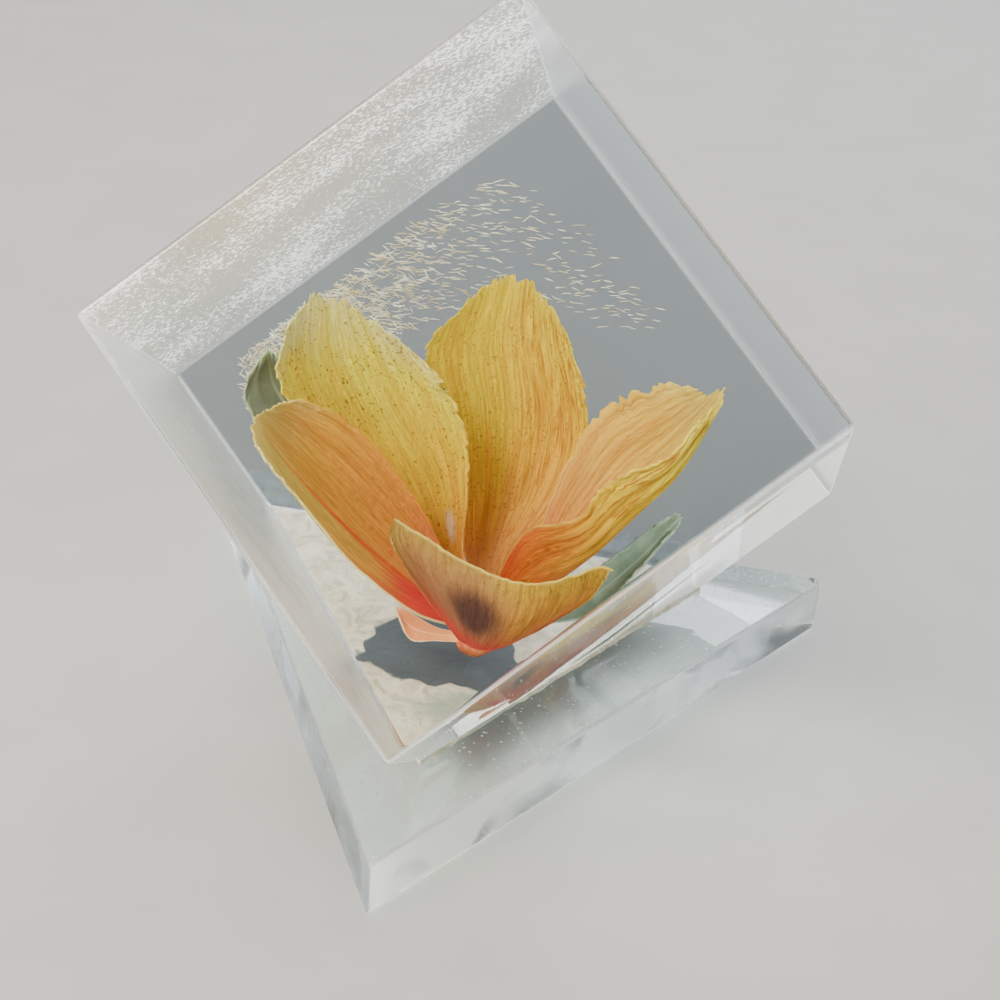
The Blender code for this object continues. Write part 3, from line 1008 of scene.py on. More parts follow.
@dataclass(frozen=True)
class MottledFinish(Finish):
    """A simple coloured surface, mottled by a fine noise."""

    name: str = "mottled"
    dark: str = "#808080"
    light: str = "#A0A0A0"
    grain_mm: float = 2.0
    roughness: float = 0.6

    def build(self) -> bpy.types.Material:
        """Make the material."""
        material, tree, shader, _ = self.start()
        place = add_node(tree, "ShaderNodeTexCoord")
        noise = add_node(tree, "ShaderNodeTexNoise",
                         values={"Scale": 1.0 / (self.grain_mm * MM), "Detail": 5.0},
                         links={"Vector": place.outputs["Object"]})
        body = set_ramp(add_node(tree, "ShaderNodeValToRGB",
                                 links={"Fac": noise.outputs["Fac"]}),
                        ((0.35, self.dark), (0.65, self.light)))
        tree.links.new(body.outputs["Color"], shader.inputs["Base Color"])
        shader.inputs["Roughness"].default_value = self.roughness
        return material


# --------------------------------------------------------------------------- flower and leaves


def weights(values: Sequence[float], at: np.ndarray) -> list[np.ndarray]:
    """Weights of the polynomial through one value at each station.

    Args:
        values: The stations.
        at: Where the polynomial is read.

    Returns:
        One array of weights for each station.
    """
    out = []
    for i, here in enumerate(values):
        weight = np.ones_like(at)
        for j, other in enumerate(values):
            if j != i:
                weight = weight * (at - other) / (here - other)
        out.append(weight)
    return out


def sheet_points(rows: Rows, frame: BlockFrame, along: np.ndarray, across: np.ndarray,
                 rounded_tip: float) -> np.ndarray:
    """Places on the smooth sheet through rows of control points.

    Args:
        rows: The control points in face millimetres, evenly spaced from claw to tip.
        frame: The block's frame.
        along: 0 at the first row to 1 at the last.
        across: -1 at the left margin to 1 at the right margin.
        rounded_tip: How far the margins stop short of the last row.

    Returns:
        Places in metres.
    """
    net = np.array(rows, dtype=float)
    spans, columns = net.shape[0] - 1, net.shape[1]
    by_column = weights(np.linspace(-1.0, 1.0, columns), across)
    reach = along * (1.0 - rounded_tip * np.abs(across) ** 3) * spans
    low = np.clip(reach.astype(int), 0, spans - 1)
    t = (reach - low)[..., None]
    padded = np.concatenate([[2.0 * net[0] - net[1]], net, [2.0 * net[-1] - net[-2]]])
    a, b, c, d = (sum(by_column[j][..., None] * padded[low + k][..., j, :]
                      for j in range(columns)) for k in range(4))
    local = 0.5 * (2.0 * b + (c - a) * t + (2.0 * a - 5.0 * b + 4.0 * c - d) * t ** 2
                   + (3.0 * b - a - 3.0 * c + d) * t ** 3)
    return frame.points(local)


def rough_line(rng: np.random.Generator, at: np.ndarray, waves: float) -> np.ndarray:
    """A smooth random line between -1 and 1, the same for the same seed.

    Args:
        rng: Where the randomness comes from.
        at: Where the line is read, from 0 to 1.
        waves: How many knots it has over its length.

    Returns:
        The line's values.
    """
    knots = rng.uniform(-1.0, 1.0, int(waves) + 3)
    place = np.clip(at, 0.0, 1.0) * waves
    low = np.floor(place).astype(int)
    part = place - low
    part = part * part * (3.0 - 2.0 * part)
    return knots[low] * (1.0 - part) + knots[low + 1] * part


@dataclass
class Blade:
    """A petal, leaf or sepal: a sheet bent through control points, pleated and nibbled."""

    name: str
    node: str                      # the CAD node that it replaces, or "" for none
    slot: str
    rows: Rows
    finish: Finish
    seed: int
    thickness: float = 0.28 * MM
    rounded_tip: float = 0.12
    pleats: float = 7.0
    pleat_mm: float = 0.16
    pleat_bias: float = 0.0        # more pleats on the right half when above zero
    frill_mm: float = 0.22
    frill_waves: float = 22.0
    jag_mm: float = 0.7
    length_mm: float = 40.0        # a petal's usual length, which the teeth are a part of
    tip_bites: tuple[float, float] = (11.0, 56.0)    # slow and quick waves along the tip
    side_bites: tuple[float, float] = (14.0, 60.0)   # and along each side
    margin: float = 0.82           # the frill begins this far out
    steps_along: int = 140
    steps_across: int = 140

    def nibbled(self, along: np.ndarray, across: np.ndarray,
                rng: np.random.Generator) -> tuple[np.ndarray, np.ndarray]:
        """Draw the margins in by small uneven teeth.

        Args:
            along: 0 at the claw to 1 at the tip.
            across: -1 at the left margin to 1 at the right margin.
            rng: Where the randomness comes from.

        Returns:
            Along and across after the cut.
        """
        tooth = self.jag_mm / self.length_mm
        top = (rough_line(rng, (across + 1.0) / 2.0, self.tip_bites[0]) * 0.7
               + rough_line(rng, (across + 1.0) / 2.0, self.tip_bites[1]) * 0.9)
        left, right = (rough_line(rng, along, self.side_bites[0]) * 0.6
                       + rough_line(rng, along, self.side_bites[1]) * 0.9 for _ in range(2))
        side = np.where(across < 0.0, left, right)
        along_cut = along * (1.0 - tooth * (1.0 + top) * along ** 6)
        across_cut = across * (1.0 - tooth * 2.6 * (1.0 + side) * along * np.abs(across) ** 6)
        return along_cut, across_cut

    def relief(self, along: np.ndarray, across: np.ndarray,
               rng: np.random.Generator) -> np.ndarray:
        """Height of the pleats and of the frilled margin.

        Args:
            along: 0 at the claw to 1 at the tip.
            across: -1 at the left margin to 1 at the right margin.
            rng: Where the randomness comes from.

        Returns:
            Millimetres above the smooth sheet.
        """
        # Pleats are creases that fan out from the claw, uneven in depth.
        phase = rng.uniform(0.0, math.pi, 3)
        bend = across + 0.12 * np.sin(2.2 * along + phase[2]) * across
        depth = 0.65 + 0.5 * rough_line(rng, (across + 1.0) / 2.0, 9.0)
        depth = depth * (1.0 + self.pleat_bias * across)
        crease = (1.0 - 2.0 * np.abs(np.sin(self.pleats * bend * math.pi / 2.0 + phase[0]))
                  + 0.5 * np.sin(self.pleats * 2.7 * bend + phase[1]))
        pleat = self.pleat_mm * along ** 1.1 * depth * crease
        outer = np.clip((np.maximum(np.abs(across), along) - self.margin)
                        / (1.0 - self.margin), 0.0, 1.0) ** 1.5
        wave = np.where(np.abs(across) > along,
                        rough_line(rng, along, self.frill_waves * 1.6),
                        rough_line(rng, (across + 1.0) / 2.0, self.frill_waves))
        return pleat + self.frill_mm * outer * along * wave

    def build(self, frame: BlockFrame) -> bpy.types.Object:
        """Make the petal, leaf or sepal.

        Args:
            frame: The block's frame.

        Returns:
            The object.
        """
        rng = np.random.default_rng(self.seed)
        u = np.linspace(0.0, 1.0, self.steps_along + 1)
        v = np.linspace(-1.0, 1.0, self.steps_across + 1)
        along, across = np.meshgrid(u, v, indexing="ij")
        along_cut, across_cut = self.nibbled(along, across, rng)
        step = 1e-3                # a short way along the sheet, to find its normal
        base, further, beside = (
            sheet_points(self.rows, frame, along_cut + on, across_cut + out, self.rounded_tip)
            for on, out in ((0.0, 0.0), (step, 0.0), (0.0, step)))
        normal = np.cross(beside - base, further - base)
        normal /= np.maximum(np.linalg.norm(normal, axis=-1, keepdims=True), 1e-12)
        place = base + normal * (self.relief(along, across, rng) * MM)[..., None]
        rows, columns = along.shape
        index = np.arange(rows * columns).reshape(rows, columns)
        faces = np.stack([index[:-1, :-1], index[:-1, 1:], index[1:, 1:], index[1:, :-1]],
                         axis=-1).reshape(-1, 4)
        mesh = bpy.data.meshes.new(self.name)
        mesh.from_pydata(place.reshape(-1, 3).tolist(), [], faces.tolist())
        layer = mesh.uv_layers.new(name="blade")
        uv = np.stack([(across + 1.0) / 2.0, along], axis=-1).reshape(-1, 2)
        loops = np.zeros(len(mesh.loops), dtype=np.int32)
        mesh.loops.foreach_get("vertex_index", loops)
        layer.data.foreach_set("uv", uv[loops].astype(np.float32).ravel())
        obj = new_object(self.name, mesh, self.finish.build(), None)
        solidify = obj.modifiers.new("thickness", "SOLIDIFY")
        solidify.thickness = self.thickness
        solidify.offset = 0.0
        bake_modifiers(obj)
        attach(obj, "root")
        if self.node:
            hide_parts(self.node)
        return obj


PETAL_BACK_LEFT: Rows = (
    ((0.5, -27.0, 42.5), (1.4, -27.1, 43.5), (2.2, -26.7, 43.0)),
    ((-6.4, -22.1, 43.0), (-3.2, -20.0, 46.0), (0.2, -19.6, 44.5)),
    ((-15.1, -16.6, 41.5), (-8.3, -11.9, 47.5), (-0.2, -12.3, 44.0)),
    ((-22.9, -9.0, 38.5), (-15.0, -4.5, 46.0), (-1.4, -4.7, 42.0)),
    ((-28.5, -0.7, 36.5), (-20.2, 3.1, 42.5), (-5.5, 1.6, 41.0)),
    ((-27.4, 8.4, 36.0), (-22.9, 11.4, 38.5), (-11.1, 6.0, 39.5)),
)
PETAL_BACK_RIGHT: Rows = (
    ((3.0, -26.3, 45.5), (4.0, -26.2, 46.5), (5.2, -26.3, 46.0)),
    ((-0.4, -19.4, 48.5), (3.3, -19.2, 50.5), (8.1, -18.6, 46.5)),
    ((-3.3, -11.7, 50.5), (3.8, -10.5, 52.5), (13.5, -10.8, 45.5)),
    ((-7.2, -2.7, 50.0), (3.2, -0.2, 51.5), (15.3, -2.3, 43.5)),
    ((-10.4, 5.0, 48.5), (0.8, 9.8, 49.0), (11.9, 7.2, 42.5)),
    ((-8.3, 11.9, 46.5), (0.9, 18.9, 45.5), (8.2, 13.8, 42.5)),
)
PETAL_RIGHT: Rows = (
    ((5.3, -26.4, 44.5), (6.7, -27.3, 43.0), (5.0, -26.6, 41.0)),
    ((9.5, -17.5, 44.0), (12.6, -24.0, 40.0), (8.5, -17.1, 37.0)),
    ((12.1, -7.5, 42.0), (17.8, -18.7, 37.0), (15.6, -14.0, 31.5)),
    ((16.5, 2.2, 38.5), (23.1, -12.2, 33.5), (19.6, -8.6, 27.5)),
    ((23.4, 5.6, 34.0), (28.2, -5.3, 29.5), (26.6, -4.5, 24.5)),
    ((30.5, 5.1, 29.0), (32.6, 5.0, 27.0), (31.8, 3.0, 24.5)),
)
PETAL_LEFT: Rows = (
    ((0.2, -27.3, 42.0), (1.4, -28.8, 41.0), (2.4, -30.9, 40.0)),
    ((-2.9, -19.6, 40.5), (-4.8, -26.0, 39.5), (-4.0, -29.9, 34.0)),
    ((-8.8, -12.3, 36.5), (-12.1, -21.6, 36.0), (-12.3, -25.1, 28.0)),
    ((-15.8, -6.4, 31.5), (-19.0, -16.4, 31.5), (-19.3, -18.7, 23.0)),
    ((-22.2, -4.5, 27.5), (-24.8, -11.5, 27.5), (-24.0, -14.4, 19.5)),
    ((-25.8, -5.8, 24.5), (-28.0, -8.1, 23.0), (-26.9, -11.2, 18.0)),
)
PETAL_FRONT: Rows = (
    ((2.2, -32.3, 38.0), (3.4, -32.8, 38.0), (4.6, -33.0, 38.0),
     (5.8, -32.9, 38.0), (6.9, -32.5, 38.5)),
    ((-0.3, -29.7, 34.5), (2.7, -31.7, 33.5), (5.9, -33.2, 33.0),
     (8.9, -32.4, 34.0), (11.5, -30.6, 35.0)),
    ((-3.0, -27.0, 30.0), (1.5, -29.5, 28.0), (7.2, -32.1, 26.0),
     (12.5, -30.1, 28.0), (16.3, -27.3, 30.5)),
    ((-5.4, -24.0, 25.5), (0.1, -26.8, 23.0), (8.2, -29.7, 20.5),
     (15.3, -27.5, 22.0), (19.9, -24.4, 25.5)),
    ((-7.1, -21.2, 23.0), (-1.6, -23.6, 20.5), (8.6, -26.7, 18.0),
     (16.3, -24.6, 19.5), (21.5, -22.1, 22.0)),
    ((-6.4, -18.5, 22.0), (-2.0, -20.5, 19.5), (8.6, -24.0, 17.0),
     (16.1, -22.9, 18.0), (22.5, -20.5, 20.0)),
)
SEPAL: Rows = (
    ((2.0, -31.5, 39.0), (2.3, -32.1, 39.0), (2.5, -32.8, 39.0)),
    ((-1.0, -31.3, 38.5), (-1.0, -32.3, 38.6), (-0.9, -33.2, 38.5)),
    ((-4.3, -30.1, 38.0), (-4.2, -31.9, 38.3), (-4.0, -33.6, 38.0)),
    ((-6.9, -29.1, 37.0), (-6.7, -30.0, 37.2), (-6.1, -31.0, 37.0)),
)
LEAF_LEFT: Rows = (
    ((-4.5, -25.6, 51.0), (-4.0, -26.0, 51.6), (-3.4, -26.4, 51.4)),
    ((-19.5, -15.6, 47.5), (-16.0, -13.6, 50.5), (-12.4, -12.2, 52.0)),
    ((-32.6, -6.0, 43.5), (-29.0, -3.0, 46.5), (-24.0, -1.6, 48.0)),
    ((-32.8, 2.0, 42.5), (-31.4, 3.2, 43.5), (-29.8, 2.6, 44.0)),
)
LEAF_RIGHT: Rows = (
    ((10.4, -27.2, 48.0), (10.8, -28.0, 48.0), (11.2, -28.8, 48.0)),
    ((15.6, -22.4, 48.5), (17.6, -24.4, 49.0), (18.8, -26.2, 48.0)),
    ((22.0, -16.6, 44.5), (23.6, -18.4, 45.5), (24.2, -19.8, 44.5)),
    ((28.0, -10.4, 41.0), (29.2, -11.0, 41.5), (29.2, -12.2, 41.5)),
)


@dataclass
class Flower:
    """The sealed hibiscus: five petals, two leaves, one sepal and the receptacle."""

    frame: BlockFrame
    base_centre: Triple = (4.2 * MM, -13.0 * MM, 12.5 * MM)
    base_radius: float = 2.6 * MM
    base_rise: float = 1.2 * MM
    base_corners: int = 20
    lobe: float = 0.08             # how far the cup's five lobes stand out
    foot_wrap: float = 1.0 * MM    # how far the cup reaches out over the petals' feet

    def petals(self) -> list[Blade]:
        """The five petals with their finishes."""
        pale = PetalTissue(
            "petal_tissue_pale",
            left=((0.1, "#F49A38"), (0.26, "#F6AE20"), (0.42, "#F8C208"), (0.6, "#F9D40C"),
                  (0.8, "#FAE93C"), (1.0, "#FDF8A8")),
            right=((0.1, "#F49A38"), (0.24, "#F6B024"), (0.4, "#F8CC10"), (0.58, "#F9E018"),
                   (0.8, "#FAF03C"), (1.0, "#FCF8A0")),
            speck_amount=0.75, vein="#E4A000", vein_strength=0.3, rim_strength=0.15,
            crease_shade=0.25,
            spots=(Spot("#FFFAB0", 0.1, 0.95, 0.2, 0.1, 0.6),
                   Spot("#FFE4C0", 0.78, 0.26, 0.1, 0.08, 0.6)))
        yellow = PetalTissue(
            "petal_tissue_yellow",
            left=((0.1, "#FAA85C"), (0.28, "#FDBC3C"), (0.42, "#FDD01C"), (0.6, "#FEE20C"),
                  (1.0, "#FEE814")),
            right=((0.1, "#FAA85C"), (0.3, "#FCBA44"), (0.5, "#FBC424"), (0.7, "#FCD61C"),
                   (1.0, "#FEEA30")),
            fold=0.5, speck_amount=0.45, vein="#D07408", vein_strength=0.38, rim="#FFF060",
            rim_strength=0.2, crease_shade=0.75,
            # The thin orange streak at 0.33 across is painted shade where the back left petal
            # overlaps and shades this one.
            spots=(Spot("#EC8418", 0.33, 0.42, 0.03, 0.26, 0.35),))
        amber = PetalTissue(
            "petal_tissue_amber",
            left=((0.1, "#F4843C"), (0.3, "#F4A850"), (0.5, "#F2BC4C"), (0.75, "#F4C848"),
                  (1.0, "#F8E070")),
            right=((0.06, "#EE5810"), (0.22, "#F08C1C"), (0.38, "#F2B824"), (0.6, "#F9DE1C"),
                   (1.0, "#FBF04C")),
            fold=0.64, vein="#BC6408", vein_strength=0.4, rim="#FFE860", rim_strength=0.35,
            crease_shade=0.8)
        orange = PetalTissue(
            "petal_tissue_orange",
            left=((0.0, "#F04C28"), (0.16, "#F88C44"), (0.36, "#FAAC38"), (0.7, "#F4BA34"),
                  (1.0, "#F8E884")),
            right=((0.05, "#F43A3C"), (0.22, "#F66834"), (0.38, "#F0B840"), (0.65, "#E8D458"),
                   (1.0, "#EEE080")),
            # The strong cream line on the right margin is partly the paler margin and partly a
            # painted highlight where the upturned near margin catches the light.
            fold=0.56, rim="#FFF4A8", rim_start=0.955, rim_right_only=True, vein="#D07010",
            rim_strength=0.9, crease_shade=0.3,
            spots=(Spot("#F84810", 0.54, 0.42, 0.03, 0.5, 0.7),
                   Spot("#F83038", 0.7, 0.14, 0.3, 0.2, 0.7)))
        outer = PetalTissue(
            "petal_tissue_outer",
            # The left half's dull olive-brown is partly the petal's own colour and partly painted
            # shade.
            left=((0.05, "#F05C44"), (0.25, "#E45C44"), (0.5, "#C88450"), (0.8, "#C49A48"),
                  (1.0, "#BC9A40")),
            right=((0.05, "#F0744C"), (0.3, "#E87038"), (0.55, "#E09A2C"), (0.9, "#DCB42C")),
            vein="#8A4C14", vein_strength=0.45, rim="#FFE870", rim_start=0.975,
            rim_strength=0.6, crease_shade=0.4,
            spots=(Spot("#F05844", 0.4, 0.12, 0.6, 0.3, 0.8),
                   Spot("#A86850", 0.36, 0.62, 0.34, 0.44, 0.5),
                   Spot("#4A2C2C", 0.42, 0.6, 0.15, 0.26, 0.85)))
        return [
            Blade("back_left_petal", "petal_back_left", "petal_pale_yellow", PETAL_BACK_LEFT,
                  pale, 11, pleats=7.0, pleat_mm=0.08, rounded_tip=0.06),
            Blade("back_right_petal", "petal_back_right", "petal_yellow", PETAL_BACK_RIGHT,
                  yellow, 12, pleats=9.0, pleat_mm=0.1, pleat_bias=0.9, jag_mm=0.6,
                  rounded_tip=0.1),
            Blade("right_petal", "petal_right", "petal_orange", PETAL_RIGHT, amber, 13,
                  pleats=9.0, pleat_mm=0.15, pleat_bias=0.8, rounded_tip=0.06),
            Blade("left_petal", "petal_left", "petal_orange", PETAL_LEFT, orange, 14,
                  jag_mm=0.35, pleats=5.0, pleat_mm=0.1, rounded_tip=0.06),
            Blade("front_petal", "petal_front", "petal_outer", PETAL_FRONT, outer, 15,
                  rounded_tip=0.02, pleats=5.0, pleat_mm=0.12, jag_mm=0.3, frill_mm=0.25),
        ]

    def sepal(self) -> Blade:
        """The one sepal that shows, left of the receptacle."""
        finish = LeafTissue("sepal_tissue", "#E0803C", "#EFA45C", "#FBD8A8")
        return Blade("left_sepal", "", "receptacle", SEPAL, finish, 18, rounded_tip=0.1,
                     pleats=1.0, pleat_mm=0.05, frill_mm=0.1, jag_mm=0.2, steps_along=40,
                     steps_across=24)

    def leaves(self) -> list[Blade]:
        """The two leaves with their finishes."""
        return [
            Blade("left_leaf", "leaf_left", "leaf_green", LEAF_LEFT,
                  LeafTissue("leaf_tissue_dark"), 16, pleats=2.0, pleat_mm=0.3, frill_mm=0.4,
                  steps_along=60, steps_across=40),
            Blade("right_leaf", "leaf_right", "leaf_green", LEAF_RIGHT,
                  LeafTissue("leaf_tissue_green", "#6A8670", "#88A48A", "#A4BEA4"), 17,
                  pleats=2.0, pleat_mm=0.3, frill_mm=0.4, steps_along=60, steps_across=40),
        ]

    def receptacle(self) -> bpy.types.Object:
        """Make the fleshy cup that the petals' feet are set in."""
        places = []
        for turn in np.linspace(0.0, 2.0 * math.pi, self.base_corners, endpoint=False):
            lobe = 1.0 + self.lobe * math.cos(5.0 * turn)
            for reach, rise in ((0.55, -1.0), (1.0, 0.0)):
                places.append(Vector(self.base_centre) + Vector((
                    self.base_radius * reach * lobe * math.cos(turn),
                    self.base_radius * reach * lobe * math.sin(turn),
                    self.base_rise * rise)))
        feet = [Vector(place) for blade in self.petals()
                for place in self.frame.points(np.array(blade.rows[0]))]
        middle = sum(feet, Vector()) / len(feet)
        places += [foot + (foot - middle).normalized() * self.foot_wrap for foot in feet]
        bm = bmesh.new()
        shell = bmesh.ops.convex_hull(bm, input=[bm.verts.new(place) for place in places])
        inside = {item for item in shell["geom_interior"] + shell["geom_unused"]
                  if isinstance(item, bmesh.types.BMVert)}
        bmesh.ops.delete(bm, geom=list(inside), context="VERTS")
        # Dried fleshy tissue: matt, and mottled from brick red to orange.
        finish = MottledFinish("receptacle_tissue", "#B5451F", "#E07A34", 1.2, 0.6)
        obj = new_object("receptacle", mesh_from("receptacle", bm), finish.build(), None)
        rounding = obj.modifiers.new("fleshy form", "SUBSURF")
        rounding.levels = 3
        rounding.render_levels = 3
        bake_modifiers(obj)
        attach(obj, "root")
        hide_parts("flower_base")
        return obj

    def build(self) -> list[bpy.types.Object]:
        """Make all the pieces."""
        blades = self.petals() + self.leaves() + [self.sepal()]
        return [blade.build(self.frame) for blade in blades] + [self.receptacle()]


# --------------------------------------------------------------------------- needles


@dataclass
class Needles:
    """Short pale needles that set in one sheet in the acrylic behind the flower.

    They lie thick above the left petals and thin out to the right, where they lie level.
    """

    frame: BlockFrame
    count: int = 1900
    length_mm: tuple[float, float] = (1.0, 2.3)
    width_mm: float = 0.13
    depth_mm: float = 1.3
    thick_share: float = 0.5       # how many of them stand in the thick left part
    thick_spread: tuple[float, float] = (1.9, 3.0)   # how those gather, as a beta curve
    thick_end: float = 0.72        # where along the sheet the thick part ends
    thin_spread: tuple[float, float] = (1.0, 1.5)
    thin_end: float = 0.98
    side_reach: float = 0.97
    rounded_end: float = 0.12
    girths: tuple[float, float] = (0.5, 1.2)         # thinnest and thickest, of the width
    lean: float = 0.05             # radians that they rise to the right on the whole
    tilt: float = 0.12             # how far they tilt out of the sheet
    shoulder: float = 0.45         # a needle has its full width over this part of its half
    bow: float = 0.12              # how far it bends, as a part of its length
    spread: float = 0.85           # radians that the needles turn by at the left end
    settling: float = 0.65         # how much less they turn where they lie level
    settled: float = 0.6           # where along the sheet that is
    seed: int = 31
    rows: Rows = (
        ((-34.6, -5.0, 55.5), (-36.4, -1.0, 56.0), (-37.2, 2.4, 56.0)),
        ((-19.0, 5.0, 56.0), (-22.0, 11.6, 57.0), (-24.6, 16.4, 57.5)),
        ((-2.0, 15.6, 56.0), (-3.6, 25.0, 57.0), (-5.0, 33.6, 57.5)),
        ((25.0, 11.6, 56.0), (24.6, 16.4, 56.5), (17.4, 23.4, 57.0)),
    )

    def build(self) -> bpy.types.Object:
        """Make one joined mesh of four-sided spindles."""
        rng = np.random.default_rng(self.seed)
        verts: list[Any] = []
        faces: list[Any] = []
        right = np.array(self.frame.right())
        up = np.array(self.frame.up())
        normal = np.array(self.frame.normal())
        # Some stand in the thick left part, the rest are spread over the whole sheet.
        thick = rng.random(self.count) < self.thick_share
        along = np.where(thick, rng.beta(*self.thick_spread, self.count) * self.thick_end,
                         rng.beta(*self.thin_spread, self.count) * self.thin_end)
        across = rng.uniform(-self.side_reach, self.side_reach, self.count)
        middles = sheet_points(self.rows, self.frame, along, across, self.rounded_end)
        middles += (normal * (rng.uniform(-0.5, 0.5, (self.count, 1)) * self.depth_mm * MM))
        for place, at in zip(middles, along):
            turn = self.spread - self.settling * min(1.0, at / self.settled)
            angle = rng.normal(self.lean, turn)
            tilt = rng.normal(0.0, self.tilt)
            direction = math.cos(angle) * right + math.sin(angle) * up + tilt * normal
            direction /= np.linalg.norm(direction)
            side = np.cross(direction, normal)
            side /= np.linalg.norm(side)
            third = np.cross(direction, side)
            half = rng.uniform(*self.length_mm) * MM / 2.0
            bow = rng.normal(0.0, self.bow) * half * 2.0
            radius = self.width_mm * MM / 2.0 * rng.uniform(*self.girths)
            start = len(verts)
            verts.append(place - direction * half)
            for t in (-self.shoulder, self.shoulder):
                middle = place + direction * (half * t) + side * (bow * (1.0 - t * t) * 0.5)
                for k in range(4):
                    a = math.pi / 2.0 * k
                    verts.append(middle + radius * (math.cos(a) * side + math.sin(a) * third))
            verts.append(place + direction * half)
            for k in range(4):
                n = (k + 1) % 4
                faces.append((start, start + 1 + n, start + 1 + k))
                faces.append((start + 1 + k, start + 1 + n, start + 5 + n, start + 5 + k))
                faces.append((start + 9, start + 5 + k, start + 5 + n))
        mesh = bpy.data.meshes.new("needles")
        mesh.from_pydata([tuple(v) for v in verts], [], faces)
        # Fine pale straws, straw yellow to cream, smooth enough to glint.
        finish = MottledFinish("needle_inclusions", "#D8BE70", "#FFFBE8", 2.0, 0.3)
        obj = new_object("needles", mesh, finish.build(), None)
        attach(obj, "root")
        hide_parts("needle_sheet")
        return obj


# --------------------------------------------------------------------------- clear pieces


@dataclass
class ClearBlock:
    """The one-piece acrylic cube on its cut-off corner."""

    frame: BlockFrame
    edge_radius: float = 0.9 * MM

    def build(self) -> bpy.types.Object:
        """Make the block."""
        bm = bmesh.new()
        bmesh.ops.create_cube(bm, size=self.frame.side)
        turn = Matrix(self.frame.edges()).transposed().to_4x4()
        bmesh.ops.transform(bm, matrix=Matrix.Translation(self.frame.centre()) @ turn,
                            verts=bm.verts)
        cut = Vector((0.0, 0.0, FACET_HEIGHT))
        geometry = list(bm.verts) + list(bm.edges) + list(bm.faces)
        bmesh.ops.bisect_plane(bm, geom=geometry, plane_co=cut, plane_no=(0.0, 0.0, -1.0),
                               clear_outer=True)
        open_edges = [edge for edge in bm.edges if edge.is_boundary]
        bmesh.ops.contextual_create(bm, geom=open_edges)
        bmesh.ops.recalc_face_normals(bm, faces=bm.faces)
        obj = new_object("clear_block", mesh_from("clear_block", bm),
                         BlockAcrylic(frame=self.frame).build())
        polish_edges(obj, self.edge_radius, harden=True)
        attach(obj, "root")
        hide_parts("block_front_half", "block_back_half")
        return obj


@dataclass
class ClearPlate:
    """The triangular acrylic plate with one worn corner."""

    side: float = 100.8 * MM
    yaw: float = math.radians(-91.5)
    worn: float = 2.2 * MM         # how much of the worn corner is gone
    edge_radius: float = 0.5 * MM

    def build(self) -> bpy.types.Object:
        """Make the plate."""
        radius = self.side / math.sqrt(3.0)
        corners = []
        for k in range(3):
            azimuth = self.yaw + math.radians(120.0 * k)
            out = Vector((math.cos(azimuth), math.sin(azimuth), 0.0))
            if k == 1:
                across = Vector((-out.y, out.x, 0.0))
                half = self.worn * math.tan(math.radians(30.0))
                corners.append(out * (radius - self.worn) - across * half)
                corners.append(out * (radius - self.worn * 0.75) + across * half * 0.55)
            else:
                corners.append(out * radius)
        mesh = prism("clear_plate", corners, 0.0, PLATE_THICKNESS)
        obj = new_object("clear_plate", mesh, PlateAcrylic().build())
        polish_edges(obj, self.edge_radius)
        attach(obj, "root")
        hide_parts("base_plate")
        return obj


@dataclass
class CementBond:
    """The cured cement between the block's facet and the plate.

    It wets the block's facet, so its top lies a hair inside the block and no air shows there.
    """

    frame: BlockFrame
    seed: int = 7
    wetting: float = 0.04 * MM     # how far its top lies inside the block
    drawn_in: float = 0.5 * MM     # how far its corners stay inside the facet's
    over_plate: float = 0.02 * MM
    steps: int = 60                # points along each side of its ragged outline
    raggedness: float = 0.02

    def build(self) -> bpy.types.Object:
        """Make the film."""
        rng = np.random.default_rng(self.seed)
        facet_side = self.frame.corner_cut * math.sqrt(6.0)
        radius = facet_side / math.sqrt(3.0) - self.drawn_in
        corners = []
        for k in range(4):
            azimuth = math.radians(-90.0 + 120.0 * k)
            corners.append(Vector((math.cos(azimuth), math.sin(azimuth), 0.0)) * radius)
        outline = []
        for start, end in zip(corners, corners[1:]):
            for i in range(self.steps):
                point = start.lerp(end, i / self.steps)
                outline.append(point * (1.0 - rng.uniform(0.0, self.raggedness)))
        mesh = prism("cement_film", outline, PLATE_THICKNESS + self.over_plate,
                     FACET_HEIGHT + self.wetting)
        obj = new_object("cement_film", mesh, CuredCement().build())
        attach(obj, "root")
        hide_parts("adhesive_film")
        return obj


# --------------------------------------------------------------------------- studio


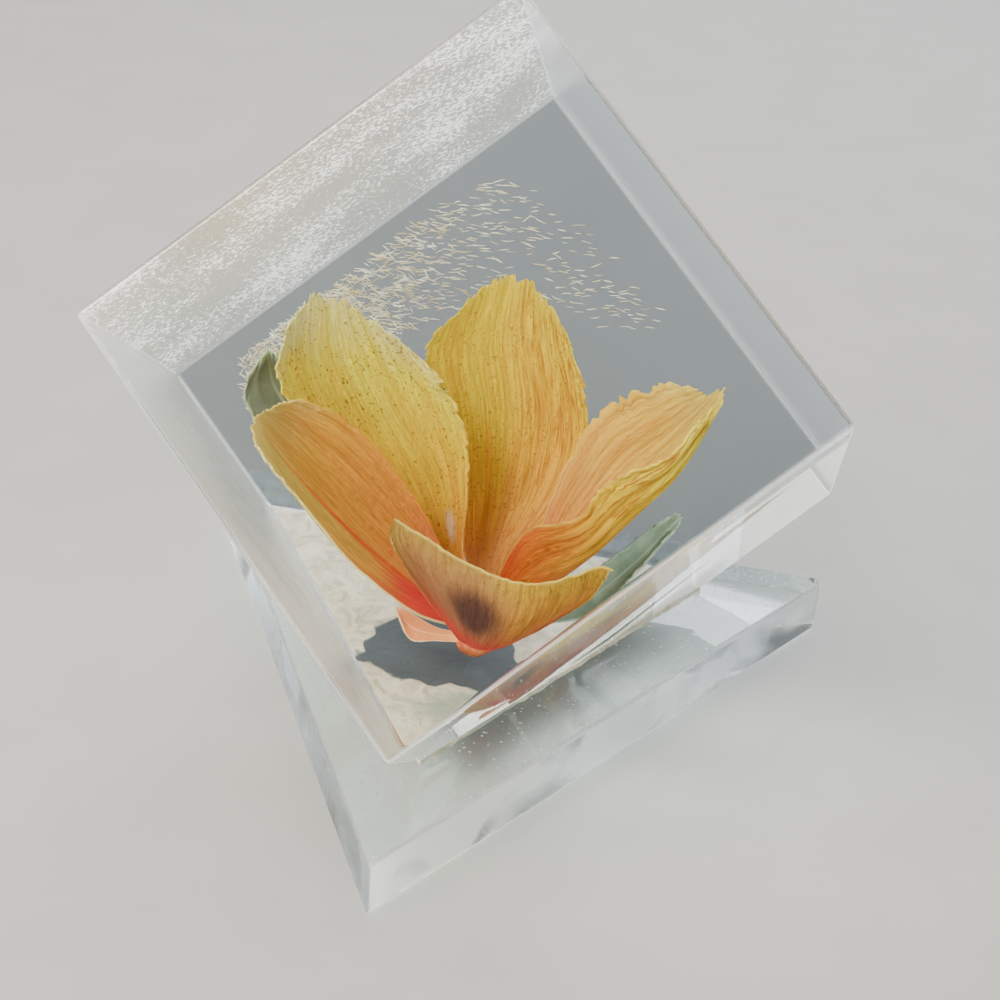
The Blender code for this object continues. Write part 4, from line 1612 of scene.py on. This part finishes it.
@dataclass
class Studio:
    """Camera at the photograph's angle, a pale floor and soft lamps."""

    focal_px: float = 2006.0       # fitted to the photograph, as are the next four
    fitted_mm: Triple = (2.254, -250.411, 173.117)
    turn_deg: float = 9.17
    pitch_deg: float = 29.891
    roll_deg: float = -4.196
    photo_px: float = 1000.0
    sensor_mm: float = 36.0
    aim: Triple = (0.0, 0.0, 0.045)
    air_strength: float = 0.46

    def camera(self) -> None:
        """Place the camera."""
        data = bpy.data.cameras.new("camera")
        data.sensor_width = self.sensor_mm
        data.sensor_fit = "HORIZONTAL"
        data.lens = self.focal_px / self.photo_px * self.sensor_mm
        data.clip_start = 0.01
        obj = bpy.data.objects.new("camera", data)
        bpy.context.scene.collection.objects.link(obj)
        pitch, roll = math.radians(self.pitch_deg), math.radians(self.roll_deg)
        forward = Vector((0.0, math.cos(pitch), -math.sin(pitch)))
        right = Vector((1.0, 0.0, 0.0))
        down = forward.cross(right)
        right_rolled = right * math.cos(roll) + down * math.sin(roll)
        down_rolled = -right * math.sin(roll) + down * math.cos(roll)
        axes = Matrix((right_rolled, -down_rolled, -forward)).transposed().to_4x4()
        around = Matrix.Rotation(math.radians(self.turn_deg), 4, "Z")
        fitted = Vector(self.fitted_mm) * MM
        obj.matrix_world = around @ Matrix.Translation(fitted) @ axes
        bpy.context.scene.camera = obj

    def floor(self) -> None:
        """A wide sheet of pale grey studio paper, matt and almost even."""
        bpy.ops.mesh.primitive_plane_add(size=6.0, location=(0.0, 0.0, -0.2 * MM))
        obj = bpy.context.object
        obj.name = "floor"
        paper = MottledFinish("floor_paper", "#A2A19D", "#A6A5A1", 20.0, 0.8)
        obj.data.materials.append(paper.build())

    def lamp(self, name: str, place: Triple, size: float, power: float, colour: str) -> None:
        """One soft square lamp that points at the block.

        Args:
            name: The lamp's name.
            place: Where it stands, in metres.
            size: Its side in metres.
            power: Watts.
            colour: sRGB hex colour.
        """
        data = bpy.data.lights.new(name, "AREA")
        data.size = size
        data.energy = power
        data.color = linear(colour)[:3]
        obj = bpy.data.objects.new(name, data)
        bpy.context.scene.collection.objects.link(obj)
        obj.location = place
        gaze = Vector(self.aim) - Vector(place)
        obj.rotation_euler = gaze.to_track_quat("-Z", "Y").to_euler()

    def air(self) -> None:
        """Soft grey-blue air, darker towards the horizon and white overhead."""
        world = bpy.data.worlds.new("studio_air")
        bpy.context.scene.world = world
        world.use_nodes = True
        tree = world.node_tree
        back = tree.nodes["Background"]
        towards = add_node(tree, "ShaderNodeTexCoord")
        split = add_node(tree, "ShaderNodeSeparateXYZ",
                         links={"Vector": towards.outputs["Generated"]})
        ramp = set_ramp(add_node(tree, "ShaderNodeValToRGB",
                                 links={"Fac": split.outputs["Z"]}),
                        ((0.0, "#4E5A63"), (0.3, "#8A959C"), (0.65, "#C4CACD"),
                         (1.0, "#F2F4F4")))
        tree.links.new(ramp.outputs["Color"], back.inputs["Color"])
        back.inputs["Strength"].default_value = self.air_strength

    def build(self) -> None:
        """Make the studio."""
        self.camera()
        self.floor()
        self.lamp("key", (-0.42, -0.3, 0.6), 0.3, 10.0, "#FFF7E8")
        self.lamp("near", (-0.5, -0.6, 0.3), 0.45, 3.5, "#FFF9F0")
        self.lamp("rim", (0.1, 0.5, 0.6), 0.5, 9.0, "#F4F6FF")
        self.lamp("fill", (0.5, -0.6, 0.35), 0.6, 3.2, "#FFFFFF")
        self.lamp("low", (-0.6, -0.3, 0.12), 0.35, 1.6, "#FFE8C8")
        self.air()


# --------------------------------------------------------------------------- main


def main() -> None:
    """Build the paperweight and its studio."""
    logging.basicConfig(level=logging.INFO, format="%(name)s: %(message)s")
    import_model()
    frame = BlockFrame()
    pieces = Flower(frame).build()
    for builder in (Needles(frame), ClearBlock(frame), ClearPlate(), CementBond(frame)):
        pieces.append(builder.build())
    for piece in pieces:
        LOG.info("built %s", piece.name)
    Studio().build()


if __name__ == "__main__":
    main()
